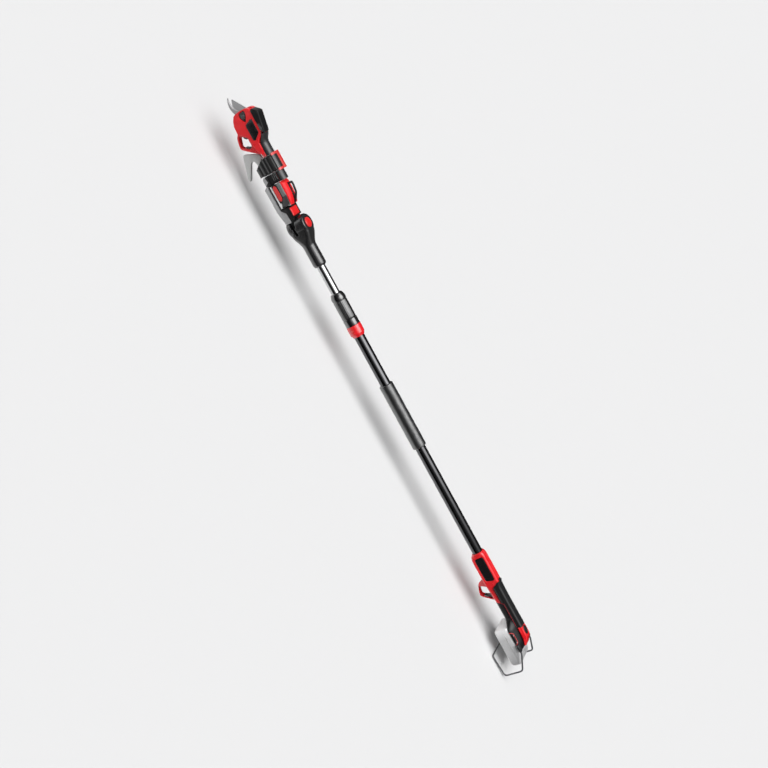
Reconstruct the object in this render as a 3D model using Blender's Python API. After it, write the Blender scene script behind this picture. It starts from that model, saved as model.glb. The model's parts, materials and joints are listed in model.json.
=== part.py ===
"""Cordless pole pruner: pole axis along X, shear head towards -X, battery towards +X, +Z up.

Everything is drawn in millimetres about the pole's own axis (the tool frame) and scaled to metres.
The tool frame is lowered into the world so that the wire stand rests on z = 0.
"""
import math

import bmesh
import bpy
from mathutils import Matrix, Vector

# ---------------------------------------------------------------- clear the scene
for old in list(bpy.data.objects):
    bpy.data.objects.remove(old, do_unlink=True)

MM = 0.001
GAP = 0.3                      # running gap between neighbouring solids, mm

# ---------------------------------------------------------------- driving dimensions (mm)
# pole
OUTER_R, OUTER_BORE = 15.0, 13.7
INNER_R, INNER_BORE = 12.4, 11.2
OUTER_X0, OUTER_X1 = -196.0, 600.0
INNER_X0, INNER_X1 = -440.0, 480.0
FOAM_R, FOAM_X0, FOAM_X1 = 20.3, 3.0, 204.0
# telescopic clamp
CAP_X0, NUT_X0, RING_X0, COLLAR_X0, COLLAR_X1 = -284.0, -262.0, -204.5, -184.5, -151.0
NUT_R, RING_R, COLLAR_R = 20.0, 20.6, 21.3
# head joint
PIVOT_X = -488.0
CHEEK_R = 27.0
CHEEK_TOP, SLOT_TOP, SLOT_BOTTOM, CHEEK_BOTTOM = 32.0, -1.0, -10.0, -26.5
SLEEVE_R, SLEEVE_X0, SLEEVE_X1 = 18.9, -430.0, -368.0
CLEAR_R = 29.0                 # everything on the head side stays outside this radius
# shear
BLADE_PIVOT = (-809.0, 20.0)   # x, z
SHEAR_W = 20.0
GUARD_W = 9.3
SHEAR_GRIP_R, SHEAR_GRIP_Z = 17.0, 25.0
# rear handle
HANDLE_X0 = 552.0
BATTERY_W = 41.0
BATTERY_TOP = -15.6
STAND_W, STAND_R = 54.2, 2.4
STAND_BOTTOM = -90.5
STAND_LEG_W, STAND_LEG_Z = 44.4, -7.4
# where the tool frame sits in the world
TOOL_X = -25.44
TOOL_Z = -STAND_BOTTOM + STAND_R - 0.01

# ---------------------------------------------------------------- materials
MATS = {}


def material(name, rgb, rough, metal=0.0):
    if name in MATS:
        return MATS[name]
    m = bpy.data.materials.new(name)
    m.use_nodes = True
    b = m.node_tree.nodes["Principled BSDF"]
    b.inputs["Base Color"].default_value = (*rgb, 1.0)
    b.inputs["Roughness"].default_value = rough
    b.inputs["Metallic"].default_value = metal
    m.diffuse_color = (*rgb, 1.0)
    MATS[name] = m
    return m


RED = (0.72, 0.012, 0.016)
BLACK = (0.02, 0.02, 0.022)
RUBBER = (0.035, 0.037, 0.04)
STEEL = (0.55, 0.55, 0.56)
ALU = (0.68, 0.69, 0.70)
GREY = (0.32, 0.33, 0.33)

# ---------------------------------------------------------------- frames
tool = bpy.data.objects.new("tool_frame", None)
bpy.context.scene.collection.objects.link(tool)
tool.location = (TOOL_X * MM, 0.0, TOOL_Z * MM)


def axis_empty(name, at, parent=None):
    """An empty on a joint's axis, placed in the tool frame (mm)."""
    e = bpy.data.objects.new("axis_" + name, None)
    bpy.context.scene.collection.objects.link(e)
    base = parent["at"] if parent is not None else (0.0, 0.0, 0.0)
    e.parent = parent if parent is not None else tool
    e.location = tuple((a - b) * MM for a, b in zip(at, base))
    e["at"] = [float(v) for v in at]
    return e


# ---------------------------------------------------------------- mesh helpers (all input in mm, tool frame)
def mesh_object(name, verts, faces, helper=False):
    me = bpy.data.meshes.new(name)
    me.from_pydata([(x * MM, y * MM, z * MM) for x, y, z in verts], [], faces)
    bm = bmesh.new()
    bm.from_mesh(me)
    bmesh.ops.remove_doubles(bm, verts=bm.verts, dist=1e-6)
    bmesh.ops.recalc_face_normals(bm, faces=bm.faces)
    bm.to_mesh(me)
    bm.free()
    ob = bpy.data.objects.new(name, me)
    bpy.context.scene.collection.objects.link(ob)
    if helper:
        ob.hide_render = True
        ob.display_type = "WIRE"
    return ob


def bake(ob):
    """Replaces the object's mesh by its evaluated mesh."""
    dg = bpy.context.evaluated_depsgraph_get()
    me = bpy.data.meshes.new_from_object(ob.evaluated_get(dg))
    ob.modifiers.clear()
    ob.data = me
    return ob


def combine(ob, other, operation="DIFFERENCE"):
    m = ob.modifiers.new("boolean", "BOOLEAN")
    m.operation = operation
    m.solver = "EXACT"
    m.object = other
    bake(ob)
    bpy.data.objects.remove(other, do_unlink=True)
    return ob


def bevel(ob, width, segments=1, angle=35.0):
    m = ob.modifiers.new("bevel", "BEVEL")
    m.width = width * MM
    m.segments = segments
    m.limit_method = "ANGLE"
    m.angle_limit = math.radians(angle)
    m.use_clamp_overlap = True
    return bake(ob)


def loft(name, rings, helper=False):
    """A closed solid through rings of equal point count, capped at both ends."""
    n = len(rings[0])
    verts = [p for r in rings for p in r]
    faces = []
    for k in range(len(rings) - 1):
        for i in range(n):
            j = (i + 1) % n
            faces.append((k * n + i, k * n + j, (k + 1) * n + j, (k + 1) * n + i))
    faces.append(tuple(range(n)))
    faces.append(tuple((len(rings) - 1) * n + i for i in range(n)))
    return mesh_object(name, verts, faces, helper)


def rounded(x, w_low, w_high, z_low, z_high, r, k=2):
    """Cross-section at x: a trapezium (half-widths w_low at the bottom, w_high at the top) with round corners."""
    pts = []
    r = min(r, (z_high - z_low) / 2 - 0.05, w_low - 0.05, w_high - 0.05)
    corners = [(w_high - r, z_high - r, 0), (-(w_high - r), z_high - r, 90), (-(w_low - r), z_low + r, 180), (w_low - r, z_low + r, 270)]
    for cy, cz, a0 in corners:
        for i in range(k + 1):
            a = math.radians(a0 + 90.0 * i / k)
            pts.append((x, cy + r * math.cos(a), cz + r * math.sin(a)))
    return pts


def slab(name, outline, y0, y1, helper=False):
    """An outline of (x, z) points pushed along Y from y0 to y1."""
    rings = [[(x, y0, z) for x, z in outline], [(x, y1, z) for x, z in outline]]
    return loft(name, rings, helper)


def plate(name, outline, z0, z1, helper=False):
    """An outline of (x, y) points pushed along Z from z0 to z1."""
    rings = [[(x, y, z0) for x, y in outline], [(x, y, z1) for x, y in outline]]
    return loft(name, rings, helper)


def box(name, x0, x1, y0, y1, z0, z1, helper=False):
    return slab(name, [(x0, z0), (x1, z0), (x1, z1), (x0, z1)], y0, y1, helper)


def smooth_outline(points, n=3, keep=()):
    """Corner cutting: each corner of a closed outline is replaced by n points along a small curve."""
    out = []
    m = len(points)
    for i, p in enumerate(points):
        if i in keep:
            out.append(p)
            continue
        a, b = points[i - 1], points[(i + 1) % m]
        p0 = (p[0] + (a[0] - p[0]) * 0.28, p[1] + (a[1] - p[1]) * 0.28)
        p2 = (p[0] + (b[0] - p[0]) * 0.28, p[1] + (b[1] - p[1]) * 0.28)
        for k in range(n):
            t = k / (n - 1)
            out.append(tuple((1 - t) ** 2 * u + 2 * t * (1 - t) * v + t * t * w for u, v, w in zip(p0, p, p2)))
    return out


def turned(name, profile, seg=32, centre=(0.0, 0.0), helper=False):
    """A closed profile of (x, r) points turned about an axis along X through (y, z) = centre."""
    rings = []
    for i in range(seg):
        a = 2 * math.pi * i / seg
        rings.append([(x, centre[0] + r * math.cos(a), centre[1] + r * math.sin(a)) for x, r in profile])
    n = len(profile)
    verts = [p for r in rings for p in r]
    faces = []
    for k in range(seg):
        kk = (k + 1) % seg
        for i in range(n):
            j = (i + 1) % n
            if profile[i][1] < 1e-6 and profile[j][1] < 1e-6:
                continue
            faces.append((k * n + i, k * n + j, kk * n + j, kk * n + i))
    ob = mesh_object(name, verts, faces, helper)
    bm = bmesh.new()
    bm.from_mesh(ob.data)
    bmesh.ops.remove_doubles(bm, verts=bm.verts, dist=1e-6)
    bmesh.ops.dissolve_degenerate(bm, edges=bm.edges, dist=1e-7)
    bmesh.ops.recalc_face_normals(bm, faces=bm.faces)
    bm.to_mesh(ob.data)
    bm.free()
    return ob


def tube(name, x0, x1, r, bore, seg=32, chamfer=0.0):
    c = chamfer
    return turned(name, [(x0, bore), (x0, r - c), (x0 + c, r), (x1 - c, r), (x1, r - c), (x1, bore)] if c else
                  [(x0, bore), (x0, r), (x1, r), (x1, bore)], seg)


def turned_on(name, profile, at, axis, seg=24, helper=False):
    """A profile of (h, r) points turned about an axis ('Y' or 'Z') through the point at."""
    ob = turned(name, profile, seg, helper=helper)
    for v in ob.data.vertices:
        h, a, b = v.co.x, v.co.y, v.co.z
        if axis == "Z":
            v.co = Vector((at[0] * MM + a, at[1] * MM + b, at[2] * MM + h))
        else:
            v.co = Vector((at[0] * MM + a, at[1] * MM + h, at[2] * MM + b))
    bm = bmesh.new()
    bm.from_mesh(ob.data)
    bmesh.ops.recalc_face_normals(bm, faces=bm.faces)
    bm.to_mesh(ob.data)
    bm.free()
    return ob


def mirrored(ob, name):
    """The same piece on the other side of the y = 0 plane."""
    me = ob.data.copy()
    for v in me.vertices:
        v.co.y = -v.co.y
    me.flip_normals()
    other = bpy.data.objects.new(name, me)
    bpy.context.scene.collection.objects.link(other)
    return other


def finish(ob, mat, parent=None, smooth=35.0):
    """Gives a piece its material and shading and hangs it on its frame."""
    at = Vector(parent["at"]) * MM if parent is not None else Vector((0, 0, 0))
    ob.data.transform(Matrix.Translation(-at))
    ob.parent = parent if parent is not None else tool
    ob.data.materials.clear()
    ob.data.materials.append(mat)
    if smooth:
        ob.data.shade_smooth()
        ob.data.set_sharp_from_angle(angle=math.radians(smooth))
    ob.data.name = ob.name
    return ob


# ================================================================ joint axes
ax_inner = axis_empty("telescope", (INNER_X0, 0.0, 0.0))
ax_nut = axis_empty("clamp_nut", (NUT_X0, 0.0, 0.0))
ax_tilt = axis_empty("head_tilt", (PIVOT_X, 0.0, 0.0), ax_inner)
ax_tilt_button = axis_empty("tilt_button", (PIVOT_X, 0.0, CHEEK_TOP), ax_inner)
ax_blade = axis_empty("cutting_blade", (BLADE_PIVOT[0], 0.0, BLADE_PIVOT[1]), ax_tilt)
ax_pinion = axis_empty("drive_pinion", (-785.0, 0.0, BLADE_PIVOT[1]), ax_tilt)
ax_trigger = axis_empty("shears_trigger", (-727.0, 0.0, 3.0), ax_tilt)
ax_catch = axis_empty("safety_catch", (-763.0, 0.0, -10.0), ax_tilt)
ax_latch = axis_empty("latch_lever", (-668.0, 16.6, 44.0), ax_tilt)
ax_release = axis_empty("release_button", (-532.0, 0.0, 11.0), ax_tilt)
ax_rear_trigger = axis_empty("rear_trigger", (692.0, 0.0, -12.6))
ax_lock = axis_empty("lock_off", (653.0, 0.0, 21.0))
ax_power = axis_empty("power_button", (823.0, 0.0, 16.0))
ax_battery = axis_empty("battery", (790.0, 0.0, BATTERY_TOP))
ax_pack_button = axis_empty("pack_button", (893.0, 0.0, -30.0), ax_battery)

# ================================================================ pole
finish(tube("outer_tube", OUTER_X0, OUTER_X1, OUTER_R, OUTER_BORE, 36), material("tube_black", (0.03, 0.03, 0.032), 0.22, 0.6))
finish(tube("inner_tube", INNER_X0, INNER_X1, INNER_R, INNER_BORE, 36), material("tube_silver", (0.62, 0.63, 0.64), 0.2, 1.0), ax_inner)
finish(tube("foam_grip", FOAM_X0, FOAM_X1, FOAM_R, OUTER_R + GAP, 32, 1.6), material("foam", (0.05, 0.05, 0.053), 0.9))

# lead inside the tubes: a straight lead, a curly stretch (drawn as its outer tube) and a straight lead
finish(turned("coiled_lead", [(-430, 0), (-430, 2.8), (-232, 2.8), (-228, 7.0), (388, 7.0), (392, 2.8), (640, 2.8), (640, 0)], 12),
       material("lead_black", (0.02, 0.02, 0.02), 0.5))

# telescopic clamp: chamfered cap, ribbed nut, fixed ring and red collar
rings = []
ribs = 20
for x, r, depth in ((CAP_X0, 15.6, 0), (CAP_X0 + 1.2, 16.6, 0), (-273.6, 20.2, 0), (-271.0, 20.7, 0), (NUT_X0 - 0.4, 20.7, 0), (NUT_X0 + 0.6, NUT_R - 1.0, 0), (NUT_X0 + 2.0, NUT_R, 1.0),
                    (RING_X0 - GAP - 1.6, NUT_R, 1.0), (RING_X0 - GAP, NUT_R - 1.0, 0)):
    rings.append([(x, (r - (depth if i % 3 == 0 else 0.0)) * math.cos(2 * math.pi * i / (ribs * 3)), (r - (depth if i % 3 == 0 else 0.0)) * math.sin(2 * math.pi * i / (ribs * 3))) for i in range(ribs * 3)])
nut = loft("clamp_nut", rings)
combine(nut, turned("bore", [(CAP_X0 - 5, 0), (CAP_X0 - 5, INNER_R + 0.4), (NUT_X0 + 4, INNER_R + 0.4), (NUT_X0 + 4, 17.3), (RING_X0 + 5, 17.3), (RING_X0 + 5, 0)], 36, helper=True))
finish(nut, material("nut_black", (0.035, 0.035, 0.038), 0.35), ax_nut)
finish(turned("collet", [(-256, INNER_R + 0.35), (-256, 15.6), (-254, 16.6), (-206, 16.6), (-205.4, 14.9), (OUTER_X0 - GAP, 14.9), (OUTER_X0 - GAP, INNER_R + 0.35)], 32), material("collet_grey", (0.12, 0.12, 0.12), 0.6))
finish(tube("clamp_ring", RING_X0, COLLAR_X0 - GAP, RING_R, OUTER_R + GAP, 36, 0.5), material("ring_black", BLACK, 0.25))
finish(turned("tube_collar", [(COLLAR_X0, OUTER_R + GAP), (COLLAR_X0, COLLAR_R - 0.6), (COLLAR_X0 + 0.8, COLLAR_R), (-159.5, COLLAR_R), (COLLAR_X1 - 1.5, 17.6), (COLLAR_X1, 16.8), (COLLAR_X1, OUTER_R + GAP)], 36),
       material("collar_red", RED, 0.35))

# ================================================================ head joint
# fork yoke: a round puck about the pivot, a neck and a socket sleeve, slotted from the front
yoke = loft("fork_yoke", [rounded(x, w, w, z0, z1, r, 6) for x, w, z0, z1, r in (
    (-482, 24.6, -25.8, 31.2, 8), (-470, 24.0, -25.4, 30.6, 9), (-460, 23.0, -24.4, 28.8, 10.5), (-450, 21.4, -22.0, 25.4, 13), (-441, 20.2, -20.2, 21.8, 16.5), (SLEEVE_X0, SLEEVE_R, -SLEEVE_R, SLEEVE_R, 18.8),
    (-378, SLEEVE_R, -SLEEVE_R, SLEEVE_R, 18.8), (-371, 17.6, -17.6, 17.6, 17.5), (SLEEVE_X1, 15.4, -15.4, 15.4, 15.3))])
puck = turned_on("puck", [(CHEEK_BOTTOM, 0), (CHEEK_BOTTOM, CHEEK_R - 5), (CHEEK_BOTTOM + 5, CHEEK_R), (CHEEK_TOP - 6, CHEEK_R), (CHEEK_TOP - 1.3, CHEEK_R - 3.6), (CHEEK_TOP, CHEEK_R - 7.5), (CHEEK_TOP, 0)],
                 (PIVOT_X, 0, 0), "Z", 40, True)
combine(yoke, puck, "UNION")
combine(yoke, box("slot", -530, -467.5, -40, 40, SLOT_BOTTOM, SLOT_TOP, True))
for y0, y1 in ((-30, -13), (13, 30)):
    combine(yoke, box("side_notch", -518, -489.5, y0, y1, -12.4, 3.2, True))
combine(yoke, turned("socket", [(INNER_X0 - 1, 0), (INNER_X0 - 1, INNER_R + GAP), (-360, INNER_R + GAP), (-360, 0)], 36, helper=True))
combine(yoke, turned("lead_way", [(-475, 0), (-475, 4.0), (-435, 4.0), (-435, 0)], 16, centre=(0.0, -5.5), helper=True))
combine(yoke, turned_on("bolt_way", [(-40, 0), (-40, 9.0), (-20.0, 9.0), (-20.0, 5.0 + GAP), (14.5, 5.0 + GAP), (14.5, 0)], (PIVOT_X, 0, 0), "Z", 24, True))
combine(yoke, turned_on("button_way", [(16.5, 0), (16.5, 15.0), (50, 15.0), (50, 0)], (PIVOT_X, 0, 0), "Z", 32, True))
finish(yoke, material("yoke_black", (0.025, 0.025, 0.027), 0.32), ax_inner)
finish(turned_on("pivot_bolt", [(-24.5, 0), (-24.5, 8.0), (-20.3, 8.0), (-20.3, 5.0), (13.5, 5.0), (14.2, 4.3), (14.2, 0)], (PIVOT_X, 0, 0), "Z", 24),
       material("bolt_steel", STEEL, 0.3, 1.0), ax_inner)
finish(turned_on("tilt_button", [(20.5, 0), (20.5, 14.4), (32.0, 14.4), (33.4, 13.2), (34.2, 9.0), (34.4, 0)], (PIVOT_X, 0, 0), "Z", 32),
       material("button_red", RED, 0.35), ax_tilt_button)

# knuckle: a tongue between the fork's cheeks and a block that fills the rail's end
tongue = [(-519.5, -16.5), (PIVOT_X, -17.0)] + [(PIVOT_X + 17 * math.sin(math.radians(a)), -17 * math.cos(math.radians(a))) for a in range(15, 180, 15)] + [(PIVOT_X, 17.0), (-519.5, 16.5)]
knuckle = plate("tilt_knuckle", tongue, SLOT_BOTTOM + 0.4, SLOT_TOP - 0.4)
combine(knuckle, box("block", -547.5, -519.0, -18.5, 18.5, -23.4, SLOT_TOP - 0.4, True), "UNION")
combine(knuckle, turned_on("bolt_way", [(-40, 0), (-40, 5.08), (40, 5.08), (40, 0)], (PIVOT_X, 0, 0), "Z", 32, True))
finish(knuckle, material("knuckle_black", BLACK, 0.45), ax_tilt)

# ================================================================ bracket
# aluminium support rail: an open channel that rises towards the joint
rail = slab("support_rail", [(-639, -17), (-621, -17), (-614, -27), (-545, -27), (-506, -20), (-504, -2), (-534, -3.5), (-546, -14.6), (-618, -14.6), (-626, -7), (-639, -7)], -22.0, 22.0)
combine(rail, slab("hollow", [(-612, -24), (-545, -24), (-500, -23.8), (-500, 10), (-612, 10)], -19.0, 19.0, True))
combine(rail, turned_on("sweep", [(-60, 0), (-60, CLEAR_R), (60, CLEAR_R), (60, 0)], (PIVOT_X, 0, 0), "Z", 48, True))
finish(rail, material("rail_alu", ALU, 0.35, 1.0), ax_tilt)
cover = slab("rail_cover", [(-549, -14.2), (-546.6, -14.2), (-535, -3.0), (-504, -1.6), (-504, 8.0), (-514, 8.9), (-517.2, 8.9), (-517.2, 12.3), (-547.2, 12.3)], -21.8, 21.8)
combine(cover, slab("hollow", [(-560, -20), (-500, -20), (-500, -1.1), (-560, -1.1)], -19.2, 19.2, True))
combine(cover, turned_on("sweep", [(-60, 0), (-60, CLEAR_R), (60, CLEAR_R), (60, 0)], (PIVOT_X, 0, 0), "Z", 48, True))
combine(cover, slab("button_well", [(-544.6, 4.0), (-519.4, 4.0), (-519.4, 20), (-544.6, 20)], -16.0, 16.0, True))
combine(cover, box("surround", -544.6, -519.4, -19.6, 19.6, 8.9, 20, True))
combine(cover, box("far_wall", -547.2, -517.2, 19.6, 21.8, 10.4, 14.6, True), "UNION")
finish(cover, material("cover_black", BLACK, 0.35), ax_tilt)
button = loft("release_button", [[(x, -15.4, 6.6), (x, -15.4, 11.2), (x, -19.0, 11.3), (x, -17.0, zt - 1.4), (x, -11.0, zt), (x, 11.0, zt), (x, 17.0, zt - 1.4), (x, 19.0, 11.3), (x, 15.4, 11.2), (x, 15.4, 6.6)] for x, zt in ((-544.0, 13.6), (-541, 14.8), (-523, 14.6), (-520.0, 13.4))])
finish(button, material("release_red", RED, 0.35), ax_release)

# adapter: the block that takes the shear's foot, with a red inlay on each side
adapter = loft("adapter_body", [rounded(x, 23.0, 23.0, -14.1, 11.4, 2.5) for x in (-616, -550.3)])
combine(adapter, box("keel", -611.5, -550.3, -18.6, 18.6, -23.4, -13.0, True), "UNION")
for side in (-1, 1):
    combine(adapter, slab("seat", [(-615, 3.4), (-610, -3.1), (-573, -3.1), (-567, 3.4), (-573, 9.9), (-610, 9.9)], side * 22.0, side * 30.0, True))
finish(adapter, material("adapter_black", BLACK, 0.4), ax_tilt)
inlay = slab("adapter_inlay_left", [(-614.4, 3.4), (-609.7, -2.5), (-573.3, -2.5), (-567.7, 3.4), (-573.3, 9.1), (-609.7, 9.1)], -24.2, -22.3)
bevel(inlay, 0.8)
finish(mirrored(inlay, "adapter_inlay_right"), material("inlay_red", RED, 0.35), ax_tilt)
finish(inlay, material("inlay_red", RED, 0.35), ax_tilt)

# saddle that carries the shear's handle, and the band round both
saddle = loft("clamp_saddle", [rounded(x, w, w, -15.5, z1, 15.3, 4) for x, w, z1 in ((-690, 17.2, 42), (-641.8, 17.2, 42), (-628, 16.5, 34), (-622, 15.6, 22))])
combine(saddle, box("above", -700, -600, -30, 30, 14, 60, True))
rear = loft("rear_block", [rounded(x, 19.5, 19.5, -9.0, 40, 5, 4) for x in (-644.0, -617.8)], True)
combine(rear, box("above", -710, -590, -30, 30, 26.6, 60, True))
combine(saddle, rear, "UNION")
combine(saddle, slab("cheeks", [(-644.0, -3.5), (-617.8, -3.5), (-617.8, -9.5), (-622.0, -16.5), (-640.0, -16.5), (-644.0, -12.5)], -23.4, 23.4, True), "UNION")
combine(saddle, turned("cradle", [(-700, 0), (-700, SHEAR_GRIP_R + GAP), (-600, SHEAR_GRIP_R + GAP), (-600, 0)], 36, centre=(0.0, SHEAR_GRIP_Z), helper=True))
combine(saddle, slab("nose_way", [(-639 - GAP, -17.6), (-600, -17.6), (-600, -6.6), (-639 - GAP, -6.6)], -22.4, 22.4, True))
combine(saddle, box("below", -639.3, -600, -22.4, 22.4, -30, -7, True))
combine(saddle, slab("front_cut", [(-700, 7.6), (-690.2, 7.6), (-671.4, -21.8), (-671.4, -40), (-700, -40)], -30, 30, True))
combine(saddle, box("hook_way", -700, -671, -4.3, 4.3, -30, 3.4, True))
finish(saddle, material("saddle_black", BLACK, 0.5), ax_tilt)
band = loft("clamp_band", [rounded(x, 20.0, 20.0, -21.4, 44.2, 16, 4) for x in (-689.0, -647.0)])
combine(band, slab("corners", [(-689.0, -21.4), (-647.0, -21.4), (-647.0, 6.0), (-689.0, 6.0)], -19.4, 19.4, True), "UNION")
combine(band, loft("inside", [rounded(x, 17.6, 17.6, -15.8, 42.4, 15.8, 4) for x in (-700.0, -640.0)], True))
combine(band, slab("front_cut", [(-700, 7.0), (-689.0, 7.0), (-670.8, -21.4), (-670.8, -40), (-700, -40)], -30, 30, True))
combine(band, box("hook_way", -700, -668, -4.3, 4.3, -30, 3.4, True))
finish(band, material("band_black", (0.03, 0.03, 0.032), 0.5), ax_tilt)
for name, x in (("band_wire_front", -690.6), ("band_wire_rear", -645.4)):
    wire = loft(name, [rounded(x + dx, 19.6, 19.6, -17.8, 43.8, 15.6, 4) for dx in (-1.1, 1.1)])
    combine(wire, loft("inside", [rounded(x + dx, 17.7, 17.7, -15.9, 42.5, 15.4, 4) for dx in (-5, 5)], True))
    if x < -680:
        combine(wire, box("below", -700, -668, -30, 30, -40, 7.4, True))
    finish(wire, material("wire_steel", STEEL, 0.3, 1.0), ax_tilt)
lever = loft("latch_lever", [[(x, y, z) for y, z in ((-16.8, 38.8), (-19.0, 40.8), (-13.8, 45.1), (-4.0, 47.6), (15.0, 47.6), (17.6, 45.6), (18.6, 41.0), (16.8, 41.6), (14.5, 44.6), (-4.0, 44.6), (-12.4, 42.5))] for x in (-693, -643)])
combine(lever, box("window", -686, -650, -9.0, 11.0, 46.2, 60, True))
finish(lever, material("latch_red", RED, 0.35), ax_latch)

# pull hook below the clamp
hook_outline = [(-723, -41.5), (-719.5, -46.3), (-656.5, -67.8), (-651.5, -61.5), (-690, -36.5), (-695.5, -31), (-694.5, -23.5), (-687, -20.5), (-676, -19.5), (-672, -16.2), (-672, -10), (-691, 2.6), (-704.5, 2.6)]
hook = slab("pull_hook", smooth_outline(hook_outline, 3, keep=(2, 3, 9, 10, 11)), -4.0, 4.0)
bevel(hook, 0.8)
finish(hook, material("hook_grey", (0.33, 0.34, 0.34), 0.45, 0.3), ax_tilt)

# ================================================================ shear
# left shell: body, finger guard and handle in one, open on its inner side
body_outline = [(-823, -2), (-826, 19), (-825.5, 37), (-820, 46), (-811, 49.7), (-747, 49.7), (-740, 36), (-731, 26.5), (-712, 26.5), (-697, 18), (-715, 8.5), (-728, 5.2), (-756, 5.2), (-765, -6), (-775, -19.5), (-786, -18.5), (-797, -18), (-812, -11.5)]
shell = slab("shears_shell_left", smooth_outline(body_outline, 2, keep=(7, 8)), -SHEAR_W, -0.15)
bevel(shell, 3.5, 2, 60)
guard_outline = [(-800, -15), (-786, -18.8), (-779, -24), (-766, -34.2), (-743, -39.6), (-735.2, -37.4), (-712.6, -8), (-696.2, 17), (-712, 24), (-760, 14), (-790, 4)]
combine(shell, slab("guard", guard_outline, -GUARD_W, -0.15, True), "UNION")
handle_ring = [(-0.15, SHEAR_GRIP_Z - SHEAR_GRIP_R)]
for a in range(-80, 1, 10):
    handle_ring.append((-SHEAR_GRIP_R * math.cos(math.radians(a)), SHEAR_GRIP_Z + SHEAR_GRIP_R * math.sin(math.radians(a))))
handle_ring += [(-13.6, 27.0)] + [(-13.6 * math.cos(math.radians(a)), SHEAR_GRIP_Z + 13.6 * math.sin(math.radians(a))) for a in range(15, 90, 12)] + [(-0.15, SHEAR_GRIP_Z + 13.6)]
combine(shell, loft("handle", [[(x, y, z) for y, z in handle_ring] for x in (-742, -617)], True), "UNION")
opening = [(-769, -23), (-757, -3.5), (-730, -3.5), (-726.5, -13), (-740.5, -35.6), (-761, -28.2)]
combine(shell, slab("finger_hole", smooth_outline(opening, 3), -30, 30, True))
combine(shell, slab("blade_slot", [(-835, -12), (-806, -12), (-785, -2), (-785, 44), (-835, 46)], -4.3, 5, True))
combine(shell, slab("body_hollow", [(-784, 3), (-766, 3), (-759, 8.6), (-726, 8.6), (-718, 12.5), (-742, 20), (-742, 46.5), (-784, 46.5)], -16.8, 5, True))
combine(shell, slab("switch_way", [(-758, 2.6), (-737, 2.6), (-737, 9.6), (-758, 9.6)], -6.4, 5, True))
combine(shell, turned("handle_hollow", [(-745, 0), (-745, 10.4), (-621, 10.4), (-621, 0)], 20, centre=(0.0, SHEAR_GRIP_Z), helper=True))
combine(shell, slab("catch_way", [(-775, -6.8), (-763, 5), (-752, -6), (-765, -17)], -4.0, 5, True))
combine(shell, slab("trigger_way", [(-736, -2.4), (-716, -2.4), (-716, 6), (-736, 6)], -6.4, 5, True))
combine(shell, slab("trigger_slot", [(-734, -2), (-718, -2), (-727.5, -18), (-738, -34), (-742, -34)], -6.4, 5, True))
combine(shell, turned("pinion_way", [(-791, 0), (-791, 7.4), (-780, 7.4), (-780, 0)], 20, centre=(0.0, BLADE_PIVOT[1]), helper=True))
recess = [(-824.5, 21), (-820, 28.5), (-812, 31), (-804, 27.5), (-796.5, 20.5), (-804, 14.5), (-813, 11.5), (-821, 13.5)]
combine(shell, slab("pivot_recess", recess, -30, -15.5, True))
combine(shell, turned_on("bolt_way", [(-40, 0), (-40, 4.4), (5, 4.4), (5, 0)], (BLADE_PIVOT[0], 0, BLADE_PIVOT[1]), "Y", 20, True))
panel_outline = [(-795.5, 38.4), (-793.5, 41.4), (-754.5, 41.4), (-739.8, 21.4), (-742, 14.9), (-787, 14.9)]
combine(shell, slab("panel_seat", panel_outline, -30, -SHEAR_W + 1.2, True))
right = mirrored(shell, "shears_shell_right")
finish(shell, material("shears_red", RED, 0.32), ax_tilt)
finish(right, material("shears_red", RED, 0.32), ax_tilt)

centre = (sum(p[0] for p in panel_outline) / 6, sum(p[1] for p in panel_outline) / 6)
small = [(centre[0] + (x - centre[0]) * 0.975, centre[1] + (z - centre[1]) * 0.96) for x, z in panel_outline]
panel = slab("shears_panel_left", small, -20.5, -SHEAR_W + 0.9)
right = mirrored(panel, "shears_panel_right")
finish(panel, material("panel_black", BLACK, 0.3), ax_tilt)
finish(right, material("panel_black", BLACK, 0.3), ax_tilt)

# top cover and rubber grip skin
finish(loft("shears_cover", [rounded(x, w0, w1, 50.0, z1, r) for x, w0, w1, z1, r in ((-816, 17.5, 13.0, 55.5, 2.5), (-813, 20.0, 14.5, 59.5, 3.0), (-800, 21.5, 15.5, 64.6, 3.5), (-757, 21.5, 15.0, 55.8, 3.0), (-747.5, 18.5, 13.5, 52.6, 1.2))]),
       material("shears_cover_black", BLACK, 0.4), ax_tilt)
grip_rings = []
for x, wo, low, top, wi, inner_top in ((-746.6, 17.0, 49.9, 52.6, 15.0, 50.3), (-740.6, 17.2, 38.0, 47.0, 14.0, 39.4), (-731.0, 17.0, 27.5, 42.4, 13.9, 39.0), (-722.0, 16.9, 27.4, 42.0, 13.9, 39.0), (-617.0, 16.9, 27.4, 42.0, 13.9, 39.0)):
    ring = [(x, -wo * math.cos(math.radians(a)), low + (top - low) * math.sin(math.radians(a))) for a in range(0, 181, 15)]
    ring += [(x, wi * math.cos(math.radians(a)), low + (inner_top - low) * math.sin(math.radians(a))) for a in range(0, 181, 15)]
    grip_rings.append(ring)
grip = loft("shears_grip", grip_rings)
finish(grip, material("grip_rubber", RUBBER, 0.75), ax_tilt)

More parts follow.
